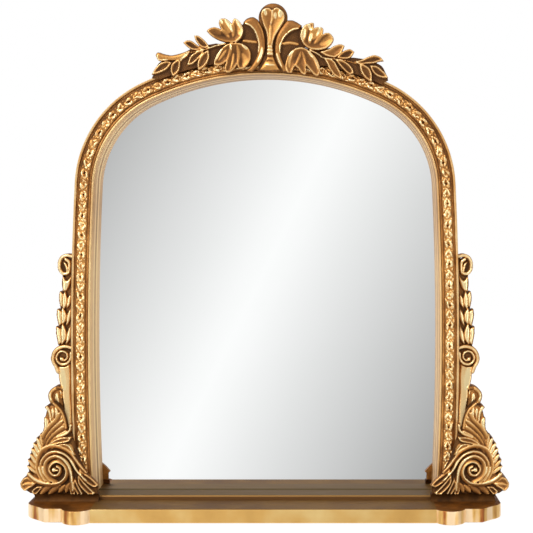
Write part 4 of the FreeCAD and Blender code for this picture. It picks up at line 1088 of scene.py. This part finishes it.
# Fringe lobes; their brightest tones are painted highlights.
for line, half, tone in (
        (((24.5, 43), (25.5, 48.5), (26, 55)), 1.8, 0.5),
        (((26, 39.5), (27.5, 46), (29.5, 51.5)), 2.0, 0.85),
        (((27, 35), (29.5, 41), (32.5, 46.5)), 2.2, 0.9),
        (((28, 30.5), (31, 36.5), (34.5, 41.5)), 2.2, 0.9),
        (((28.5, 26), (32, 31), (35.5, 36.5)), 2.2, 0.7), (((29, 22), (33, 26), (37.5, 31.5)), 2.2, 0.55),
        (((29, 18.5), (33.5, 22), (38.5, 25.5)), 2.0, 0.65),
        (((26, 12), (31.5, 14.5), (37, 18.5)), 2.2, 0.6), (((16, 7), (21.5, 4), (27, -1.5)), 3.0, 0.25),
        (((9.5, 6.5), (14, 3.5), (19, -0.5)), 2.8, 0.24), (((4, 7.5), (7, 4), (9.5, 1)), 2.6, 0.27),
        (((-0.5, 9.5), (1.5, 5.5), (3, 0.5)), 2.6, 0.24)):
    foot.lobe(line, half, tone)
foot.leaf(
    ((20.5, 40.5), (17, 46.5), (10.5, 50.5), (4, 52)),
    ((-2.5, 52), (-0.5, 48.5), (3, 47), (8.5, 46), (14, 44.5)), lift=1.8, tone=0.26)
foot.leaf(
    ((17, 40.5), (12.5, 44), (6, 46), (0.5, 45), (-3, 41)),
    ((-6.5, 34.5), (-2.5, 37), (2.5, 40.5), (8, 42.5), (12.5, 42)), lift=1.8, tone=0.3)
foot.gleam((((4.5, 45), (-0.5, 43.5), (-4, 39)), 1.6))
foot.leaf(
    ((29.5, 9.5), (34.5, 13.5), (38, 15.5), (42, 14)),
    ((44.5, 10), (44, 6), (40.5, 2.5), (37, 4.5), (33.5, 6.5)), lift=1.4, tone=0.26)
foot.fold((((31, 9.5), (37, 9.5), (42.5, 8)), 1.4), rise=1.2, tone=0.5)
foot.leaf(((23.5, 7), (29.5, 6.5)), ((34.5, 2.5), (32, -1), (28, 1)), lift=1.2)
for edges in (
        (((-9, 23), (-16, 18), (-22, 13.5)), ((-27.5, 7.5), (-23, 6), (-17.5, 9), (-12, 14))),
        (((-8, 19), (-13, 12), (-18, 6.5)), ((-24, 0.5), (-19, -1), (-13, 3.5), (-8.5, 10))),
        (((-5.5, 15), (-8.5, 8)), ((-13, -0.5), (-9, -1.5), (-5.5, 3.5), (-4, 9))),
        (((-3, 11), (-5, 5)), ((-6, -0.5), (-2, -0.5), (-0.5, 5)))):
    foot.leaf(*edges, lift=1.6)
foot.roll(
    ((20.5, 10.5), (25, 15.5), (28, 22), (28.5, 28.5), (27, 35), (24, 40), (18.5, 43), (12.5, 43.5),
     (6, 41.5), (-0.5, 37.5), (-5.5, 31), (-10, 25), (-15, 19.5)), 2.6, 1.8, coiling)
foot.edge(((27.5, 25), (26.5, 20.5), (24, 15.5), (21, 11.5)), 0.6, 3.6)
foot.roll(
    ((18, 12.5), (21.5, 15.5), (24, 21), (25, 26.5), (23, 32), (18.5, 36.5), (13.5, 38), (8, 37.5),
     (2.5, 34.5), (-2.5, 29.5), (-6, 23), (-10, 17)), 2.3, 2.2, coiling)
foot.edge(
    ((10.5, 38.5), (4, 36.5), (-0.5, 32.5), (-4, 26.5), (-7.5, 21), (-12.5, 15.5), (-17, 11.5)), 0.7, 4.0)
foot.edge(((24, 26), (23.5, 21), (21, 16.5), (18, 13)), 0.6, 4.0)
foot.roll(
    ((8.5, 9), (13.5, 12), (18, 15), (20.5, 19), (21.5, 24), (20.5, 29), (17, 32.5), (12.5, 34),
     (8, 33), (3, 29.5), (-0.5, 23.5), (-2, 16.5), (-2.5, 9.5), (-3, 4)), 2.0, 2.6)
foot.edge(((10.5, 34.5), (6, 32.5), (2, 28), (-1, 22), (-2.5, 15.5), (-2.5, 10.5)), 0.6, 4.4)
foot.roll(
    ((36.5, 17.5), (31.5, 13), (25, 10), (18.5, 8.5), (12.5, 8.5), (7, 10.5), (3, 14.5), (1.5, 19.5),
     (2.5, 24.5), (5.5, 28), (10, 30), (14.5, 29), (17.5, 26), (18.5, 22), (16.5, 18.5), (13.5, 16.5),
     (9.5, 17.5), (7.5, 21), (8, 24), (10.5, 25.5)), 2.2, 2.8, coiling)
foot.edge(((36, 17.5), (30.5, 13.5), (24, 10.5), (19.5, 9.5)), 0.6, 4.2)
# Painted highlight on the eye of the volute.
foot.boss((13.6, 22), 2.2, 1.6, 3.2, 0.85)
foot.boss((10.5, 21.5), 1.2, 1.0, 3.6, 0.7)
foot.trim(foot.z - 0.05)

for relief in (husks, bracket):
    relief.tone += RUBBED
for side, hand in (("left", -1), ("right", 1)):
    for name, relief, front in (("husk_drop", husks, SIDE_FRONT), ("scroll_bracket", bracket, SIDE_FRONT),
                                ("acanthus_foot", foot, FOOT_FRONT)):
        stile = side_out(relief.z + BLOCK_TOP) - FRAME_HALF
        back = SIDE_BACK
        if relief is foot:
            back = np.where(relief.x > stile + GRAIN, FOOT_BACK, CARVING_Y)
        else:
            relief.trim(relief.x - stile)
        made = relief.saw(f"{side}_{name}_gilt", (hand * FRAME_HALF, BLOCK_TOP), hand, front, back,
                          gilt_carving)
        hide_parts(f"{side}_{name}")


# Fixings: steel screws and beech dowels inside the joints, and six brass turn buttons that hold
# the back board in, each free to turn on its own screw.

STEEL = hue(150, 152, 155)
STEEL_DARK = hue(112, 114, 118)
BRASS = hue(196, 158, 84)
BRASS_DULL = hue(142, 108, 54)
BEECH = hue(206, 172, 126)
BEECH_DARK = hue(178, 140, 94)

for name, light, dark, metal, rough, targets in (
        ("steel", STEEL, STEEL_DARK, 0.9, 0.32,
         ("stile_screws", "foot_screws", "crest_screws")),
        ("brass", BRASS, BRASS_DULL, 0.9, 0.34,
         ("button_screws",) + tuple(f"turn_button_{n}" for n in range(1, 7))),
        ("dowel_wood", BEECH, BEECH_DARK, 0.0, 0.7, ("board_dowels", "frame_dowels"))):
    made, paint = finish(name)
    grain = paint.noise(paint.place(1, 1, 0.2), 650.0)
    surface(paint, Base_Color=grain.ramp((0.35, dark), (0.65, light)), Metallic=metal,
            Roughness=rough + (grain - 0.5) * 0.2, Normal=paint.bump(grain, 0.1, 0.0002))
    coat(made, *targets)


# Studio: a white floor and air, a soft key lamp high on the left, an upright strip lamp on each
# side, a card behind the camera, seen only in reflections, whose glow carries a painted diagonal
# sheen for the glass to give back, and on each side a flag seen only in reflections, whose dark
# grey glow paints dark reflections on the edges of the gilding.

CAMERA_X = 0.0506
CAMERA_Y = -1.0324
CAMERA_Z = 0.280
LENS = 75.4
SHIFT_X = -0.1004
SHIFT_Y = -0.106

camera = bpy.data.objects.new("camera", bpy.data.cameras.new("camera"))
camera.data.sensor_width = 36.0
camera.data.lens = LENS
camera.data.shift_x = SHIFT_X
camera.data.shift_y = SHIFT_Y
camera.data.clip_start = 0.01
camera.location = (CAMERA_X, CAMERA_Y, CAMERA_Z)
camera.rotation_euler = (math.pi / 2, 0, 0)
bpy.context.collection.objects.link(camera)
scene = bpy.context.scene
scene.camera = camera
scene.view_settings.view_transform = "Standard"

WHITE = (1.0, 1.0, 1.0, 1.0)
KEY_PLACE = (-0.9, -1.3, 1.5)
KEY_AIM = (0, 0, 0.22)
KEY_SIZE = 0.7
KEY_WATTS = 22
LAMP_X = 1.05
LAMP_Y = -0.85
LAMP_Z = 0.35
LAMP_AIM = (0, 0, 0.25)
LAMP_WIDE = 0.25
LAMP_HIGH = 1.2
LAMP_WATTS = 5


def lamp(name, place, aim, size, watts):
    """Soft lamp, turned to a point."""
    light = bpy.data.lights.new(name, "AREA")
    light.size = size
    light.energy = watts
    made = bpy.data.objects.new(name, light)
    made.location = place
    tilt = np.array(aim) - np.array(place)
    flat_far = math.hypot(tilt[0], tilt[1])
    made.rotation_euler = (math.atan2(flat_far, -tilt[2]), 0, math.atan2(tilt[1], tilt[0]) - math.pi / 2)
    bpy.context.collection.objects.link(made)
    return made


def stage_sheet(name, width, height, material, place, upright):
    """Flat sheet of the studio."""
    w, h = width / 2, height / 2
    corners = [(-w, -h, 0), (w, -h, 0), (w, h, 0), (-w, h, 0)]
    mesh = bpy.data.meshes.new(name)
    mesh.from_pydata(corners, [], [(0, 1, 2, 3)])
    mesh.materials.append(material)
    made = bpy.data.objects.new(name, mesh)
    made.location = place
    if upright:
        made.rotation_euler = (math.pi / 2, 0, 0)
    bpy.context.collection.objects.link(made)
    return made


def glowing(paint, colour):
    """Surface that only glows."""
    glow = paint.add("ShaderNodeEmission", {"Color": colour, "Strength": 1.0})
    paint.add("ShaderNodeOutputMaterial", {"Surface": glow})


def only_reflected(sheet):
    """Keep a sheet out of everything but reflections."""
    sheet.visible_camera = False
    sheet.visible_diffuse = False
    sheet.visible_shadow = False


lamp("key_lamp", KEY_PLACE, KEY_AIM, KEY_SIZE, KEY_WATTS)
for name, x in (("left_strip", -LAMP_X), ("right_strip", LAMP_X)):
    strip = lamp(name, (x, LAMP_Y, LAMP_Z), LAMP_AIM, LAMP_WIDE, LAMP_WATTS)
    strip.data.shape = "RECTANGLE"
    strip.data.size_y = LAMP_HIGH

AIR_FILL = 0.55
world = bpy.data.worlds.new("studio_air")
world.use_nodes = True
world.node_tree.nodes.clear()
scene.world = world
paint = Paint(world.node_tree)
seen = (paint.add("ShaderNodeLightPath", out="Is Camera Ray")
        + paint.add("ShaderNodeLightPath", out="Is Glossy Ray")
        + paint.add("ShaderNodeLightPath", out="Is Transmission Ray")).clamped()
air = paint.add("ShaderNodeBackground", {"Color": WHITE, "Strength": seen * (1.0 - AIR_FILL) + AIR_FILL})
paint.add("ShaderNodeOutputWorld", {"Surface": air})

GLOW_SHARE = 0.8
FLOOR_GLOW = 1.14
FLOOR_GREY = (0.9, 0.9, 0.9, 1.0)
FLOOR_WIDE = 4.0
floor_white, paint = finish("floor_white")
seen = (paint.add("ShaderNodeLightPath", out="Is Camera Ray")
        + paint.add("ShaderNodeLightPath", out="Is Transmission Ray")).clamped()
matt = paint.add("ShaderNodeBsdfDiffuse", {"Color": FLOOR_GREY})
glow = paint.add("ShaderNodeEmission", {"Color": WHITE, "Strength": FLOOR_GLOW})
paint.add("ShaderNodeOutputMaterial",
          {"Surface": paint.add("ShaderNodeMixShader", {0: seen * GLOW_SHARE, 1: matt, 2: glow})})
floor = stage_sheet("floor", FLOOR_WIDE, FLOOR_WIDE, floor_white, (0, 0, 0), False)
floor.visible_glossy = False

# The sheen the glass gives back is painted into the glow of this card, which only reflections see.
SHEEN_SLOPE = 0.49
SHEEN_PLACE = -0.011
REFLECTOR_WIDE = 2.4
REFLECTOR_PLACE = (0, -1.6, 0.28)
REFLECTOR_PALE = (0.97, 0.97, 0.97, 1.0)
REFLECTOR_DIM = (0.40, 0.40, 0.40, 1.0)
sheen, paint = finish("sheen_glow_card")
off = paint.maths("ABSOLUTE", paint.axis("X") - paint.axis("Y") * SHEEN_SLOPE - SHEEN_PLACE)
glowing(paint, off.ramp((0.0, WHITE), (0.05, REFLECTOR_PALE), (0.62, REFLECTOR_DIM),
                        (0.72, REFLECTOR_DIM), (1.0, WHITE)))
only_reflected(stage_sheet("sheen_glow_card", REFLECTOR_WIDE, REFLECTOR_WIDE, sheen, REFLECTOR_PLACE,
                           True))

# Flags: a dark glow seen only in reflections, painting dark reflections on the gilding.
FLAG_GREY = (0.10, 0.09, 0.08, 1.0)
FLAG_HALF_W = 1.2
FLAG_HALF_H = 0.95
FLAG_X = 1.35
FLAG_Y = -0.7
FLAG_Z = 0.3
flag_glow, paint = finish("studio_flag")
here = paint.place(1.0 / FLAG_HALF_W, 1.0 / FLAG_HALF_H, 1.0)
out_x = paint.maths("ABSOLUTE", paint.axis("X", here))
out_y = paint.maths("ABSOLUTE", paint.axis("Y", here))
glowing(paint, paint.maths("MAXIMUM", out_x, out_y).ramp((0.55, FLAG_GREY), (1.0, WHITE)))
for name, x in (("left_flag", -FLAG_X), ("right_flag", FLAG_X)):
    flag = stage_sheet(name, 2 * FLAG_HALF_W, 2 * FLAG_HALF_H, flag_glow, (x, FLAG_Y, FLAG_Z), True)
    flag.rotation_euler = (math.pi / 2, 0, math.pi / 2)
    only_reflected(flag)
